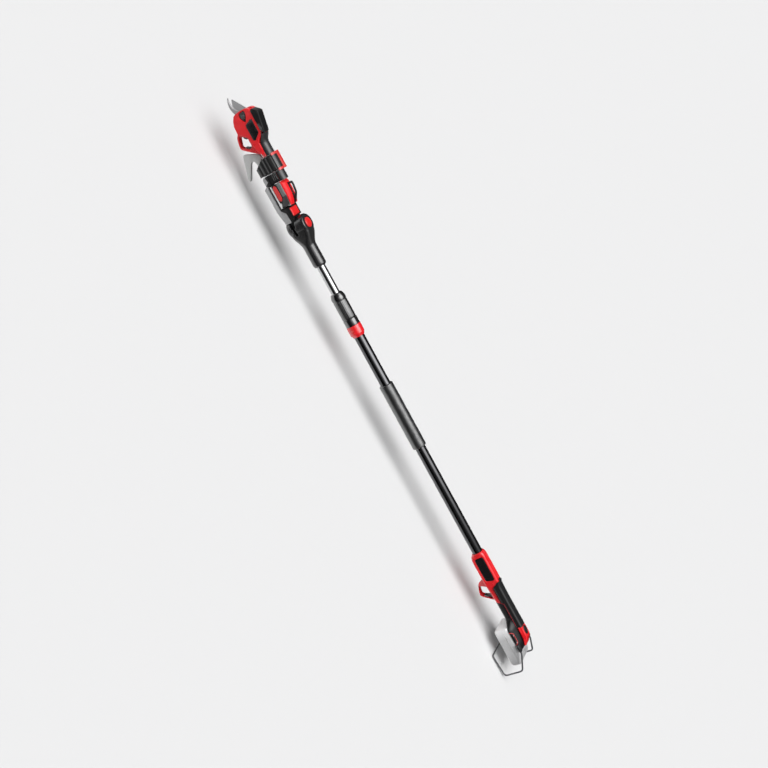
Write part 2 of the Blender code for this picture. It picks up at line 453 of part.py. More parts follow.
# blades, bolt and drive
counter = [(-871, -1.0), (-866, -6.0), (-858, -9.2), (-848, -11.0), (-838, -10.8), (-826, -6.5), (-808, 2), (-791.5, 8), (-790.5, 30), (-806, 33), (-818, 30), (-824, 22), (-826, 15), (-830, 7.4), (-840, -0.2), (-850, -2.6), (-862, -3.4)]
blade = slab("counter_blade", counter, -3.7, -0.25)
combine(blade, turned_on("bolt_way", [(-40, 0), (-40, 4.15), (40, 4.15), (40, 0)], (BLADE_PIVOT[0], 0, BLADE_PIVOT[1]), "Y", 24, True))
finish(blade, material("blade_steel", STEEL, 0.28, 1.0), ax_tilt)
cutter = [(-863, 5.0), (-857, 1.4), (-847, -2.0), (-836, -3.2), (-824, 0.5), (-816, 6)]
cutter += [(BLADE_PIVOT[0] + 18.3 * math.cos(math.radians(a)), BLADE_PIVOT[1] + 18.3 * math.sin(math.radians(a))) for a in range(-70, 51, 15)]
cutter += [(-812, 31.5), (-824, 31), (-830, 28.5), (-832.5, 26.5)]
blade = slab("cutting_blade", cutter, 0.25, 3.7)
combine(blade, turned_on("bolt_way", [(-40, 0), (-40, 4.08), (40, 4.08), (40, 0)], (BLADE_PIVOT[0], 0, BLADE_PIVOT[1]), "Y", 32, True))
finish(blade, material("blade_steel", STEEL, 0.28, 1.0), ax_blade)
finish(turned_on("blade_bolt", [(-18.8, 0), (-18.8, 5.6), (-18.0, 6.4), (-15.8, 6.4), (-15.8, 4.0), (17.4, 4.0), (18.0, 3.4), (18.0, 0)], (BLADE_PIVOT[0], 0, BLADE_PIVOT[1]), "Y", 24),
       material("bolt_steel", STEEL, 0.3, 1.0), ax_tilt)
finish(turned("drive_pinion", [(-790.0, 0), (-790.0, 5.0), (-785.0, 6.5), (-783.5, 6.5), (-783.5, 3.0), (-777.5, 3.0), (-777.5, 0)], 20, centre=(0.0, BLADE_PIVOT[1])),
       material("gear_steel", STEEL, 0.4, 1.0), ax_pinion)
finish(turned("shears_gearbox", [(-783.0, 3.4), (-783.0, 11.8), (-760.3, 11.8), (-760.3, 3.4), (-777.0, 3.4)], 24, centre=(0.0, BLADE_PIVOT[1])),
       material("gearbox_grey", (0.4, 0.4, 0.42), 0.4, 0.8), ax_tilt)
finish(turned("shears_motor", [(-759.9, 0), (-759.9, 13.0), (-744.5, 13.0), (-744.5, 5.0), (-742.4, 5.0), (-742.4, 0)], 24, centre=(0.0, 22.0)),
       material("motor_steel", (0.5, 0.5, 0.5), 0.35, 0.9), ax_tilt)
finish(box("shears_switch", -757.0, -738.0, -6.0, 6.0, 3.0, 8.5), material("switch_black", BLACK, 0.5), ax_tilt)
trigger = slab("shears_trigger", [(-730.6, 4.4), (-724.5, 4.4), (-724.5, -2.8), (-727.3, -10), (-730.4, -17), (-735.2, -23), (-738.6, -24.5), (-733.2, -14.5), (-731.4, -6), (-733, 0)], -5.8, 5.8)
finish(trigger, material("trigger_black", BLACK, 0.4), ax_trigger)
finish(slab("safety_catch", smooth_outline([(-771, -11), (-762, -2.6), (-757.6, -7), (-765.5, -15.6)], 2), -3.6, 3.6), material("trigger_black", BLACK, 0.4), ax_catch)

# shear foot, its red cap and the hanger loop
foot = loft("shears_foot", [rounded(x, w, w, 11.9, 24.3, 2.5) for x, w in ((-615.4, 22.0), (-612, 23.2), (-552.5, 23.2), (-550.3, 22.0))])
combine(foot, slab("rear_slope", [(-577, 24.3), (-540, 19.8), (-540, 40), (-577, 40)], -30, 30, True))
finish(foot, material("foot_grey", GREY, 0.6), ax_tilt)
cap = loft("shears_foot_cap", [[(x, y, z) for y, z in ((-w, 18.0), (-w, 26.0), (-w + 1.8, zt - 4.6), (-14.0, zt - 1.2), (-10.6, zt), (10.6, zt), (14.0, zt - 1.2), (w - 1.8, zt - 4.6), (w, 26.0), (w, 18.0))]
                               for x, w, zt in ((-617.2, 21.4, 34.2), (-585, 21.4, 33.8), (-575, 21.3, 32.8))]
           + [[(x, y, z) for y, z in ((-w, 18.0), (-w, zm), (-w + 1.8, (zm + zt) / 2), (-w + 4.6, zt - 0.9), (-10.0, zt), (10.0, zt), (w - 4.6, zt - 0.9), (w - 1.8, (zm + zt) / 2), (w, zm), (w, 18.0))]
              for x, w, zm, zt in ((-562, 20.8, 24.6, 29.6), (-549.0, 19.6, 22.4, 24.6))])
combine(cap, slab("below", [(-640, 0), (-640, 24.7), (-577, 24.7), (-540, 20.2), (-540, 0)], -30, 30, True))
combine(cap, slab("front_slope", [(-640, 24), (-617.2, 24), (-607.2, 34.6), (-607.2, 60), (-640, 60)], -30, 30, True))
combine(cap, slab("loop_seat", [(-606, 29.0), (-562, 29.0), (-549.9, 22.0), (-549.9, 10.0), (-540, 10.0), (-540, 60), (-606, 60)], -3.3, 3.3, True))
finish(cap, material("foot_red", RED, 0.32), ax_tilt)
loop = slab("hanger_loop", smooth_outline([(-605.5, 29.4), (-605, 47.0), (-600, 48.8), (-573, 45.4), (-553.4, 32.0), (-547.2, 24.0), (-547.0, 17.0), (-549.4, 17.0), (-549.5, 22.6), (-561.8, 29.4)], 3, keep=(0, 6, 7, 8, 9)), -3.0, 3.0)
combine(loop, slab("loop_hole", smooth_outline([(-600.5, 35.0), (-600, 45.4), (-575, 42.2), (-566, 36.2), (-569, 35.0)], 3), -10, 10, True))
finish(loop, material("loop_black", BLACK, 0.4), ax_tilt)

# ================================================================ rear handle
def side_y(z):
    """Half-width of the handle's side at height z."""
    return 20.0 + (14.8 - 20.0) * (z + 22.0) / 42.0


# left shell: tube socket, flat-sided body and finger guard
sec = [(552, 16.9, 16.9, -16.9, 16.9, 16.0), (555, 18.2, 17.0, -18.4, 18.4, 14.0), (560, 19.2, 16.0, -20.5, 19.6, 9.0), (573, 20.0, 14.8, -22.0, 20.0, 6.0), (640, 20.0, 14.8, -22.0, 20.0, 6.0), (716, 19.5, 15.0, -17.5, 17.0, 8.0)]
shell = loft("handle_shell_left", [rounded(x, w0, w1, z0, z1, r, 3) for x, w0, w1, z0, z1, r in sec])
guard = [(627, -18), (633, -26), (643, -44.5), (662, -52.8), (678, -57.4), (684.5, -53.4), (709, -17), (700, -5), (640, -5)]
combine(shell, slab("guard", smooth_outline(guard, 2), -GUARD_W, GUARD_W, True), "UNION")
hole = [(650, -44), (661, -21.5), (696, -21.5), (699, -25), (680, -53), (674, -53.6), (655, -48.6)]
combine(shell, slab("finger_hole", smooth_outline(hole, 3), -30, 30, True))
combine(shell, loft("hollow", [rounded(x, w0, w1, z0, z1, 5, 2) for x, w0, w1, z0, z1 in ((604, 16.8, 12.0, -18.8, 17.0), (642, 16.8, 12.0, -18.8, 17.0), (730, 16.5, 12.0, -14.6, 14.0))], True))
combine(shell, turned("socket", [(540, 0), (540, OUTER_R + GAP), (606, OUTER_R + GAP), (606, 0)], 36, helper=True))
combine(shell, slab("grip_way", [(640, 30), (655.5, 30), (654.5, 15), (667.0, -4.7), (730, -4.7), (730, 30)], -40, 40, True))
combine(shell, slab("trigger_way", [(676, -10), (701, -10), (701, -19), (698.6, -29), (692.3, -40), (686.6, -48.6), (676, -48.6)], -6.4, 6.4, True))
combine(shell, box("right_half", 500, 760, -0.15, 60, -100, 60, True))
hp = [(566, 12.6), (570, 15.2), (640, 15.2), (645, 11), (640, -9.5), (635, -12), (570, -12), (566, -8)]
combine(shell, loft("panel_seat", [[(x, -30.0, z) for x, z in hp], [(x, 1.2 - side_y(z), z) for x, z in hp]], True))
right = mirrored(shell, "handle_shell_right")
finish(shell, material("handle_red", RED, 0.32))
finish(right, material("handle_red", RED, 0.32))
# bare side panels, leaning with the shell's side
hc = (sum(p[0] for p in hp) / len(hp), sum(p[1] for p in hp) / len(hp))
hps = [(hc[0] + (x - hc[0]) * 0.985, hc[1] + (z - hc[1]) * 0.965) for x, z in hp]

panel = loft("handle_panel_left", [[(x, -side_y(z) - 0.4, z) for x, z in hps], [(x, 0.9 - side_y(z), z) for x, z in hps]])
right = mirrored(panel, "handle_panel_right")
finish(panel, material("handle_panel_black", BLACK, 0.3))
finish(right, material("handle_panel_black", BLACK, 0.3))

# rubber grip: an arch over the handle, deeper in front of the trigger
grip = loft("handle_grip", [rounded(x, w0, w1, z0, z1, 8, 4) for x, w0, w1, z0, z1 in ((651.5, 20.2, 15.6, -4.4, 19.8), (657, 20.4, 15.8, -4.4, 20.6), (668, 20.4, 16.4, -4.4, 18.2), (700, 20.0, 16.4, -4.4, 17.4), (770, 20.0, 16.4, -4.4, 17.4), (800.6, 20.2, 16.6, -4.4, 17.6))])
combine(grip, loft("core", [rounded(x, 16.8, 12.8, -30, 14.2, 6, 2) for x in (630, 810)], True))
combine(grip, slab("front_cut", [(600, 60), (656.6, 60), (656.4, 17.5), (655.0, 15.4), (667.9, -4.3), (667.9, -40), (600, -40)], -40, 40, True))
combine(grip, slab("rear_step", [(714.5, -10), (721.5, 5.2), (810, 5.2), (810, -10)], -40, 40, True))
finish(grip, material("handle_rubber", RUBBER, 0.75))

# lower body: black shell behind the guard, open on top
low = loft("handle_body", [rounded(x, 19.6, 19.0, -16.8, 4.8, 6, 2) for x in (716.5, 768)])
combine(low, box("hollow", 719.5, 800, -16.2, 16.2, -13.6, 30, True))
combine(low, slab("front_slope", [(700, -30), (717, -4.9), (721.6, 4.9), (721.6, 30), (700, 30)], -40, 40, True))
combine(low, loft("core", [rounded(x, 16.3, 16.3, -13.6, 40, 2, 2) for x in (719.5, 800)], True))
finish(low, material("handle_black", BLACK, 0.4))

# battery foot: flares from the handle to the width of the pack
def foot_ring(x, w_low, w_mid, w_top, z0, z1, z2):
    return [(x, -w_low, z0), (x, w_low, z0), (x, w_low, z1), (x, w_mid, (z1 + z2) / 2), (x, w_top, z2), (x, -w_top, z2), (x, -w_mid, (z1 + z2) / 2), (x, -w_low, z1)]


foot = loft("battery_foot", [foot_ring(768.4, 19.4, 19.2, 16.4, -15.2, -8.0, 4.6), foot_ring(784, 32.0, 25.5, 17.0, -15.2, -9.5, 4.4), foot_ring(797, 39.6, 31.0, 18.0, -15.2, -10.0, 4.0),
                             foot_ring(836, 39.6, 31.3, 18.0, -15.2, -10.0, 1.9), foot_ring(846, 39.6, 31.5, 18.0, -15.2, -10.0, 0.8),
                             foot_ring(858, 39.4, 31.5, 17.5, -15.2, -10.2, -2.8), foot_ring(866, 37.6, 31.5, 16.0, -15.2, -10.0, -6.0)])
combine(foot, box("terminal_way", 803, 852, -17, 17, -30, -3.0, True))
for side in (-1, 1):
    combine(foot, slab("inlay_seat", [(804, -14.6), (806, -9.4), (812, -6.6), (838, -6.6), (843, -9.4), (845, -14.6)], side * 37.2, side * 60.0, True))
    boss = loft("boss", [rounded(x, w, w, STAND_LEG_Z - 4.4, STAND_LEG_Z + 4.0, 2.5) for x, w in ((843, 6.0), (849, 7.6), (864.6, 7.2))], True)
    boss.data.transform(Matrix.Translation((0, side * (STAND_LEG_W - 3.2) * MM, 0)))
    combine(foot, boss, "UNION")
    combine(foot, turned("leg_hole", [(850, 0), (850, STAND_R + GAP), (880, STAND_R + GAP), (880, 0)], 12, centre=(side * STAND_LEG_W, STAND_LEG_Z), helper=True))
finish(foot, material("battery_foot_black", BLACK, 0.38))
for side, name in ((-1, "foot_inlay_left"), (1, "foot_inlay_right")):
    ring = [(805, -14.2), (807, -9.9), (812.4, -7.2), (837.6, -7.2), (842, -9.9), (844, -14.2)]
    finish(slab(name, ring, min(side * 37.5, side * 40.0), max(side * 37.5, side * 40.0)), material("foot_inlay_red", RED, 0.35))
cap = loft("foot_cap", [rounded(x, w0, w1, z0, z1, r, 3) for x, w0, w1, z0, z1, r in ((801.2, 19.0, 15.5, 4.4, 16.4, 4.5), (838, 19.0, 15.5, 2.4, 16.8, 4.5), (848, 18.2, 14.8, 1.2, 12.6, 3.5), (864.5, 16.6, 13.4, -4.1, 1.4, 1.8))])
combine(cap, plate("panel_way", [(823 + 14.0 * math.cos(2 * math.pi * i / 28), 10.6 * math.sin(2 * math.pi * i / 28)) for i in range(28)], 12.0, 40.0, True))
finish(cap, material("foot_cap_red", RED, 0.32))
finish(plate("power_button", [(823 + 13.5 * math.cos(2 * math.pi * i / 28), 10.1 * math.sin(2 * math.pi * i / 28)) for i in range(28)], 14.0, 17.4), material("button_black", BLACK, 0.3), ax_power)
finish(box("terminal_block", 806, 849, -14, 14, -14.8, -4.0), material("terminal_grey", (0.1, 0.1, 0.1), 0.5))

# rear trigger, its switch and the lock-off slider
trigger = slab("rear_trigger", [(686.6, -12.6), (697.5, -12.6), (696.8, -20), (693.2, -29.2), (688.6, -38.6), (685.0, -44.8), (681.6, -44.4), (685.2, -37), (687.0, -28), (686.4, -19.5)], -5.8, 5.8)
finish(trigger, material("rear_trigger_black", BLACK, 0.4), ax_rear_trigger)
finish(box("rear_switch", 676, 702, -8, 8, -8.6, 5.0), material("switch_black", BLACK, 0.5))
lock = slab("lock_off_button", smooth_outline([(646.5, 20.3), (648.6, 22.4), (653.6, 22.6), (655.8, 20.9), (655.8, 20.3)], 2, keep=(0, 4)), -6.0, 6.0)
finish(lock, material("lock_black", BLACK, 0.4), ax_lock)

# battery pack
pack = loft("battery_pack", [rounded(x, w0, w1, z0, z1, r, 3) for x, w0, w1, z0, z1, r in ((787, 37.5, 38.0, -56.3, BATTERY_TOP - 1, 5), (790, 39.5, 40.5, -59.4, BATTERY_TOP, 7), (796, BATTERY_W - 0.8, BATTERY_W, -60.2, BATTERY_TOP, 8),
                                                                                      (868, BATTERY_W - 0.8, BATTERY_W, -60.2, BATTERY_TOP, 8), (893, BATTERY_W - 0.8, BATTERY_W, -60.2, -24.5, 8), (902, 39.5, 40.5, -58.2, -27.0, 7), (905, 37.0, 38.0, -54.3, -29.5, 5))])
combine(pack, box("terminal_slots", 780, 800, -10, 10, -22.0, -10.0, True))
combine(pack, slab("button_way", [(880, -10), (888.4, -31.0), (910, -37.0), (915, -10)], -13.4, 13.4, True))
finish(pack, material("pack_grey", (0.62, 0.63, 0.64), 0.45), ax_battery)
button = slab("pack_button", [(887.6, -24.0), (890.2, -28.0), (902.5, -31.6), (903.6, -28.6), (901.5, -27.0), (892.5, -24.6)], -12.8, 12.8)
bevel(button, 0.6)
finish(button, material("pack_button_grey", (0.5, 0.51, 0.52), 0.45), ax_pack_button)

# wire stand: from the foot's rear end back and down on both sides, forward under the pack, and across
def sweep(name, path, r, sides=8):
    pts = [Vector(p) for p in path]
    rings = []
    prev = None
    for i, p in enumerate(pts):
        t = (pts[min(i + 1, len(pts) - 1)] - pts[max(i - 1, 0)]).normalized()
        if prev is None:
            u = t.cross(Vector((0, 0, 1))).normalized()
        else:
            u = (prev - t * prev.dot(t)).normalized()
        prev = u
        v = t.cross(u)
        rings.append([tuple(p + (u * math.cos(2 * math.pi * k / sides) + v * math.sin(2 * math.pi * k / sides)) * r) for k in range(sides)])
    return loft(name, rings)


def fillet(points, radius, n=4):
    """A polyline with each inner corner turned into an arc-like curve."""
    pts = [Vector(p) for p in points]
    out = [tuple(pts[0])]
    for i in range(1, len(pts) - 1):
        a, p, b = pts[i - 1], pts[i], pts[i + 1]
        ra = min(radius, (a - p).length * 0.45, (b - p).length * 0.45)
        p0, p2 = p + (a - p).normalized() * ra, p + (b - p).normalized() * ra
        for k in range(n + 1):
            t = k / n
            out.append(tuple(p0 * (1 - t) ** 2 + p * 2 * t * (1 - t) + p2 * t * t))
    out.append(tuple(pts[-1]))
    return out


side_path = [(851, STAND_LEG_W, STAND_LEG_Z), (870, STAND_LEG_W, STAND_LEG_Z), (919, STAND_W, -26.8), (919.6, STAND_W, -86), (849, STAND_W, STAND_BOTTOM)]
path = [(x, -y, z) for x, y, z in side_path] + [(x, y, z) for x, y, z in reversed(side_path)]
stand = sweep("wire_stand", fillet(path, 9.0), STAND_R)
finish(stand, material("stand_steel", (0.12, 0.12, 0.125), 0.35, 0.7))
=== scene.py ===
"""Looks of a cordless pole pruner: finishes, fine surfaces, studio and camera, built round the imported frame.

Shapes are drawn in millimetres about the pole's own axis (the tool frame: x along the pole, z up) and moved
into the frame at the end, so every piece lies exactly where its solid lies.
"""
import json
import math

import bmesh
import bpy
from mathutils import Matrix, Vector

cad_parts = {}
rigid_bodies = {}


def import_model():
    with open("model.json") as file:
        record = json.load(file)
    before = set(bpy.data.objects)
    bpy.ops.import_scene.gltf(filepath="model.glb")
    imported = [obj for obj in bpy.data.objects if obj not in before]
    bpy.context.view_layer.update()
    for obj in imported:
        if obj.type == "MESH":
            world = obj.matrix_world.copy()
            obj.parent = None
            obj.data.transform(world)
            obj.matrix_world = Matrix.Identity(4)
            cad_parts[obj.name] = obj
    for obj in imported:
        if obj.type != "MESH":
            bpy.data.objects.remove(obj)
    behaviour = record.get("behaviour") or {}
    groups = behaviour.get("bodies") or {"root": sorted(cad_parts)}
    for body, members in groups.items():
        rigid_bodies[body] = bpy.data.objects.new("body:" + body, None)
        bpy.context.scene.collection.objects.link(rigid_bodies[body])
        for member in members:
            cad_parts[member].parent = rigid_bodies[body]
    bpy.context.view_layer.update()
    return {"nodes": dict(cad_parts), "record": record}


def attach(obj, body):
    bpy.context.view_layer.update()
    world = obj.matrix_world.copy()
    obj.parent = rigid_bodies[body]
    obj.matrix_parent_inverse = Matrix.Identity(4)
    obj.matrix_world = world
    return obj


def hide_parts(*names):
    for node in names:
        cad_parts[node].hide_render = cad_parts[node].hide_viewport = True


for old in list(bpy.data.objects):
    bpy.data.objects.remove(old, do_unlink=True)

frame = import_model()

MM = 0.001
TOOL = Vector((-25.44, 0.0, 92.89)) * MM
NODE_BODY = {n: b for b, ns in frame["record"]["behaviour"]["bodies"].items() for n in ns}
BLADE_PIVOT = (-809.0, 20.0)
PIVOT_X = -488.0
INNER_R, OUTER_R = 12.4, 15.0


# ================================================================ studio
def stage_plane(name, corners, colour, rough, glow=0.0):
    me = bpy.data.meshes.new(name)
    me.from_pydata([tuple(c) for c in corners], [], [(0, 1, 2, 3)])
    ob = bpy.data.objects.new(name, me)
    bpy.context.scene.collection.objects.link(ob)
    m = bpy.data.materials.new(name)
    m.use_nodes = True
    b = m.node_tree.nodes["Principled BSDF"]
    b.inputs["Base Color"].default_value = (*colour, 1)
    b.inputs["Roughness"].default_value = rough
    b.inputs["Specular IOR Level"].default_value = 0.0
    if glow:
        b.inputs["Emission Color"].default_value = (1.0, 1.0, 1.0, 1.0)
        b.inputs["Emission Strength"].default_value = glow
    me.materials.append(m)
    return ob


def mirror_only(ob):
    """Keeps a studio card to the reflections: it neither shows nor lights nor shades anything."""
    ob.visible_camera = ob.visible_diffuse = ob.visible_shadow = ob.visible_transmission = ob.visible_volume_scatter = False


stage_plane("studio_floor", [(-40, -40, -0.0005), (40, -40, -0.0005), (40, 40, -0.0005), (-40, 40, -0.0005)], (0.60, 0.60, 0.603), 0.9)
# low dark cards beside the pole and a bright strip under it, for the reflections in the round parts only
mirror_only(stage_plane("studio_card_near", [(-0.83, -0.15, 0.0), (1.6, -0.15, 0.0), (1.6, -0.15, 0.12), (-0.83, -0.15, 0.12)], (0.012, 0.012, 0.012), 1.0))
mirror_only(stage_plane("studio_card_far", [(-0.83, 0.15, 0.0), (1.6, 0.15, 0.0), (1.6, 0.15, 0.12), (-0.83, 0.15, 0.12)], (0.012, 0.012, 0.012), 1.0))
mirror_only(stage_plane("studio_strip", [(-0.79, -0.13, -0.0002), (1.6, -0.13, -0.0002), (1.6, 0.10, -0.0002), (-0.79, 0.10, -0.0002)], (0.0, 0.0, 0.0), 1.0, 1.5))


def studio_sky(top, front, base):
    """Soft boxes as a sky: a long bright one overhead, a dimmer one in front of it, and a dark room round them."""
    world = bpy.data.worlds.new("studio_world")
    bpy.context.scene.world = world
    world.use_nodes = True
    t = world.node_tree
    bg = t.nodes["Background"]
    bg.inputs["Color"].default_value = (1.0, 1.0, 1.0, 1.0)
    coord = t.nodes.new("ShaderNodeTexCoord")
    xyz = t.nodes.new("ShaderNodeSeparateXYZ")
    t.links.new(coord.outputs["Generated"], xyz.inputs[0])

    def calc(op, a, b):
        n = t.nodes.new("ShaderNodeMath")
        n.operation = op
        for i, value in enumerate((a, b)):
            if isinstance(value, (int, float)):
                n.inputs[i].default_value = value
            else:
                t.links.new(value, n.inputs[i])
        return n.outputs[0]

    def ramp(value, lo, hi, a, b):
        n = t.nodes.new("ShaderNodeMapRange")
        n.interpolation_type = "SMOOTHSTEP"
        for key, x in (("From Min", lo), ("From Max", hi), ("To Min", a), ("To Max", b)):
            n.inputs[key].default_value = x
        t.links.new(value, n.inputs["Value"])
        return n.outputs["Result"]

    x, y, z = xyz.outputs
    height = calc("MAXIMUM", z, 0.03)
    toward = calc("DIVIDE", calc("MULTIPLY", y, -1.0), height)
    along = calc("DIVIDE", x, height)
    over = calc("MULTIPLY", ramp(toward, 0.45, 0.80, top, 0.0), ramp(toward, -0.35, -0.05, 0.0, 1.0))
    ahead = calc("MULTIPLY", ramp(toward, 1.1, 1.9, front, 0.0), ramp(toward, 0.2, 0.6, 0.0, 1.0))
    boxes = calc("MULTIPLY", calc("ADD", over, ahead), ramp(along, 0.10, 0.55, 1.0, 0.09))
    boxes = calc("MULTIPLY", boxes, ramp(along, -0.90, -0.50, 0.10, 1.0))
    boxes = calc("MULTIPLY", boxes, ramp(z, 0.02, 0.10, 0.0, 1.0))
    t.links.new(calc("ADD", boxes, base), bg.inputs["Strength"])


studio_sky(5.9, 1.5, 0.08)
bpy.context.scene.view_settings.view_transform = "Standard"
bpy.context.scene.view_settings.look = "None"

# camera: a rolled view from the left, 30 degrees up, about 3.6 m away
FOCAL, TURN, RISE, SCALE = 1300.0, math.radians(10.7), math.radians(30.0), 2.75
back = Vector((-math.sin(TURN), -math.cos(TURN) * math.cos(RISE), math.cos(TURN) * math.sin(RISE))).normalized()
v = -back
et = (Vector((1, 0, 0)) - v * v.x).normalized()
es = et.cross(v)
if es.z < 0:
    es = -es
roll = -0.0023
ET = et * math.cos(-roll) + es * math.sin(-roll)
ES = -et * math.sin(-roll) + es * math.cos(-roll)
eye = back * (FOCAL * SCALE) - ES * (1.26 * SCALE)
right = ET * 0.4828 + ES * 0.8757
up = -ET * 0.8757 + ES * 0.4828
b = right.cross(up).normalized()
up = b.cross(right)
cam_data = bpy.data.cameras.new("studio_camera")
cam_data.sensor_width = 36.0
cam_data.lens = 36.0 * FOCAL / 768.0
cam_data.clip_start, cam_data.clip_end = 0.05, 100.0
cam = bpy.data.objects.new("studio_camera", cam_data)
bpy.context.scene.collection.objects.link(cam)
cam.matrix_world = Matrix.Translation(eye * MM + TOOL) @ Matrix((
    (right.x, up.x, b.x, 0), (right.y, up.y, b.y, 0), (right.z, up.z, b.z, 0), (0, 0, 0, 1)))
bpy.context.scene.camera = cam

# ================================================================ materials
MATS = {}


class Nodes:
    """A small builder for one material's node tree."""

    def __init__(self, name):
        self.m = bpy.data.materials.new(name)
        self.m.use_nodes = True
        self.t = self.m.node_tree
        self.b = self.t.nodes["Principled BSDF"]
        self.coord = self.t.nodes.new("ShaderNodeTexCoord")

    def link(self, a, b):
        self.t.links.new(a, b)

    def mapped(self, scale):
        n = self.t.nodes.new("ShaderNodeMapping")
        n.inputs["Scale"].default_value = scale
        self.link(self.coord.outputs["Object"], n.inputs["Vector"])
        return n.outputs["Vector"]

    def noise(self, scale, detail=3.0, rough=0.55, stretch=None, distortion=0.0):
        n = self.t.nodes.new("ShaderNodeTexNoise")
        n.inputs["Scale"].default_value = scale
        n.inputs["Detail"].default_value = detail
        n.inputs["Roughness"].default_value = rough
        n.inputs["Distortion"].default_value = distortion
        self.link(self.mapped(stretch or (1, 1, 1)), n.inputs["Vector"])
        return n.outputs["Fac"]

    def voronoi(self, scale, feature="F1"):
        n = self.t.nodes.new("ShaderNodeTexVoronoi")
        n.feature = feature
        n.inputs["Scale"].default_value = scale
        self.link(self.coord.outputs["Object"], n.inputs["Vector"])
        return n.outputs["Distance"]

    def spread(self, fac, low, high, lo=0.3, hi=0.7):
        n = self.t.nodes.new("ShaderNodeMapRange")
        n.inputs["From Min"].default_value = lo
        n.inputs["From Max"].default_value = hi
        n.inputs["To Min"].default_value = low
        n.inputs["To Max"].default_value = high
        self.link(fac, n.inputs["Value"])
        return n.outputs["Result"]

    def mix(self, fac, a, b):
        n = self.t.nodes.new("ShaderNodeMix")
        n.data_type = "RGBA"
        if isinstance(fac, float):
            n.inputs[0].default_value = fac
        else:
            self.link(fac, n.inputs[0])
        for socket, value in ((n.inputs[6], a), (n.inputs[7], b)):
            if isinstance(value, tuple):
                socket.default_value = (*value, 1.0)
            else:
                self.link(value, socket)
        return n.outputs[2]

    def edge(self, low=0.52, high=0.60):
        g = self.t.nodes.new("ShaderNodeNewGeometry")
        return self.spread(g.outputs["Pointiness"], 0.0, 1.0, low, high)

    def bump(self, height, strength, distance, before=None):
        n = self.t.nodes.new("ShaderNodeBump")
        n.inputs["Strength"].default_value = strength
        n.inputs["Distance"].default_value = distance
        self.link(height, n.inputs["Height"])
        if before is not None:
            self.link(before, n.inputs["Normal"])
        return n.outputs["Normal"]

    def times(self, a, b):
        n = self.t.nodes.new("ShaderNodeMath")
        n.operation = "MULTIPLY"
        self.link(a, n.inputs[0])
        if isinstance(b, float):
            n.inputs[1].default_value = b
        else:
            self.link(b, n.inputs[1])
        return n.outputs[0]


def shade(rgb, k):
    return tuple(min(1.0, c * k) for c in rgb)


def plastic(name, rgb, rough=0.3, spec=0.5, coat=0.0, grain=1400.0, depth=0.10, vary=0.07, wear=None, ior=1.5, nose=None, tail=None):
    """Moulded plastic: fine spark grain, faint flow mottling, handling polish and slightly rubbed edges; given nose and
    tail colours, a painted lighter front end and a painted darker rear end stand in for light and shade.
    """
    if name in MATS:
        return MATS[name]
    n = Nodes(name)
    mottle = n.noise(28.0, 4.0, 0.6)
    colour = n.mix(n.spread(mottle, 0.0, 1.0), shade(rgb, 1 - vary), shade(rgb, 1 + vary))
    smudge = n.noise(9.0, 5.0, 0.65, stretch=(1.0, 1.6, 1.6))
    # painted light and shade: when nose and tail are given, the front of the piece is painted lighter and its rear
    # darker, for how the light falls along it
    if nose is not None:
        along = n.t.nodes.new("ShaderNodeSeparateXYZ")
        n.link(n.coord.outputs["Generated"], along.inputs["Vector"])
        colour = n.mix(n.spread(along.outputs["X"], 1.0, 0.0, 0.06, 0.26), colour, nose)
        colour = n.mix(n.spread(along.outputs["X"], 0.0, 1.0, 0.60, 0.92), colour, tail)
    if wear is not None:
        colour = n.mix(n.times(n.edge(), n.spread(n.noise(160.0, 3.0), 0.15, 0.8)), colour, wear)
    n.link(colour, n.b.inputs["Base Color"])
    n.link(n.spread(smudge, rough * 0.82, rough * 1.22), n.b.inputs["Roughness"])
    n.b.inputs["IOR"].default_value = ior
    n.b.inputs["Specular IOR Level"].default_value = spec
    n.b.inputs["Coat Weight"].default_value = coat
    n.b.inputs["Coat Roughness"].default_value = 0.12
    fine = n.bump(n.noise(grain, 2.0, 0.5), depth, 0.00025)
    fine = n.bump(n.noise(60.0, 2.0, 0.5), 0.05, 0.0008, fine)
    n.link(fine, n.b.inputs["Normal"])
    MATS[name] = n.m
    return n.m


def metal(name, rgb, rough=0.25, brushed=(1.0, 1.0, 1.0), grain=900.0, depth=0.06, vary=0.06, aniso=0.0, wear=None, metallic=1.0):
    """Metal: drawn or ground lines along the stretch direction, uneven roughness and faint staining."""
    if name in MATS:
        return MATS[name]
    n = Nodes(name)
    lines = n.noise(grain, 3.0, 0.6, stretch=brushed)
    stain = n.noise(22.0, 5.0, 0.6)
    colour = n.mix(n.spread(lines, 0.0, 1.0), shade(rgb, 1 - vary), shade(rgb, 1 + vary))
    colour = n.mix(n.spread(stain, 0.0, 0.35), colour, shade(rgb, 0.72))
    if wear is not None:
        colour = n.mix(n.times(n.edge(), n.spread(n.noise(160.0, 3.0), 0.2, 0.9)), colour, wear)
    n.link(colour, n.b.inputs["Base Color"])
    n.link(n.spread(n.noise(14.0, 5.0, 0.65), rough * 0.8, rough * 1.3), n.b.inputs["Roughness"])
    n.b.inputs["Metallic"].default_value = metallic
    n.link(n.bump(lines, depth, 0.0002), n.b.inputs["Normal"])
    MATS[name] = n.m
    return n.m


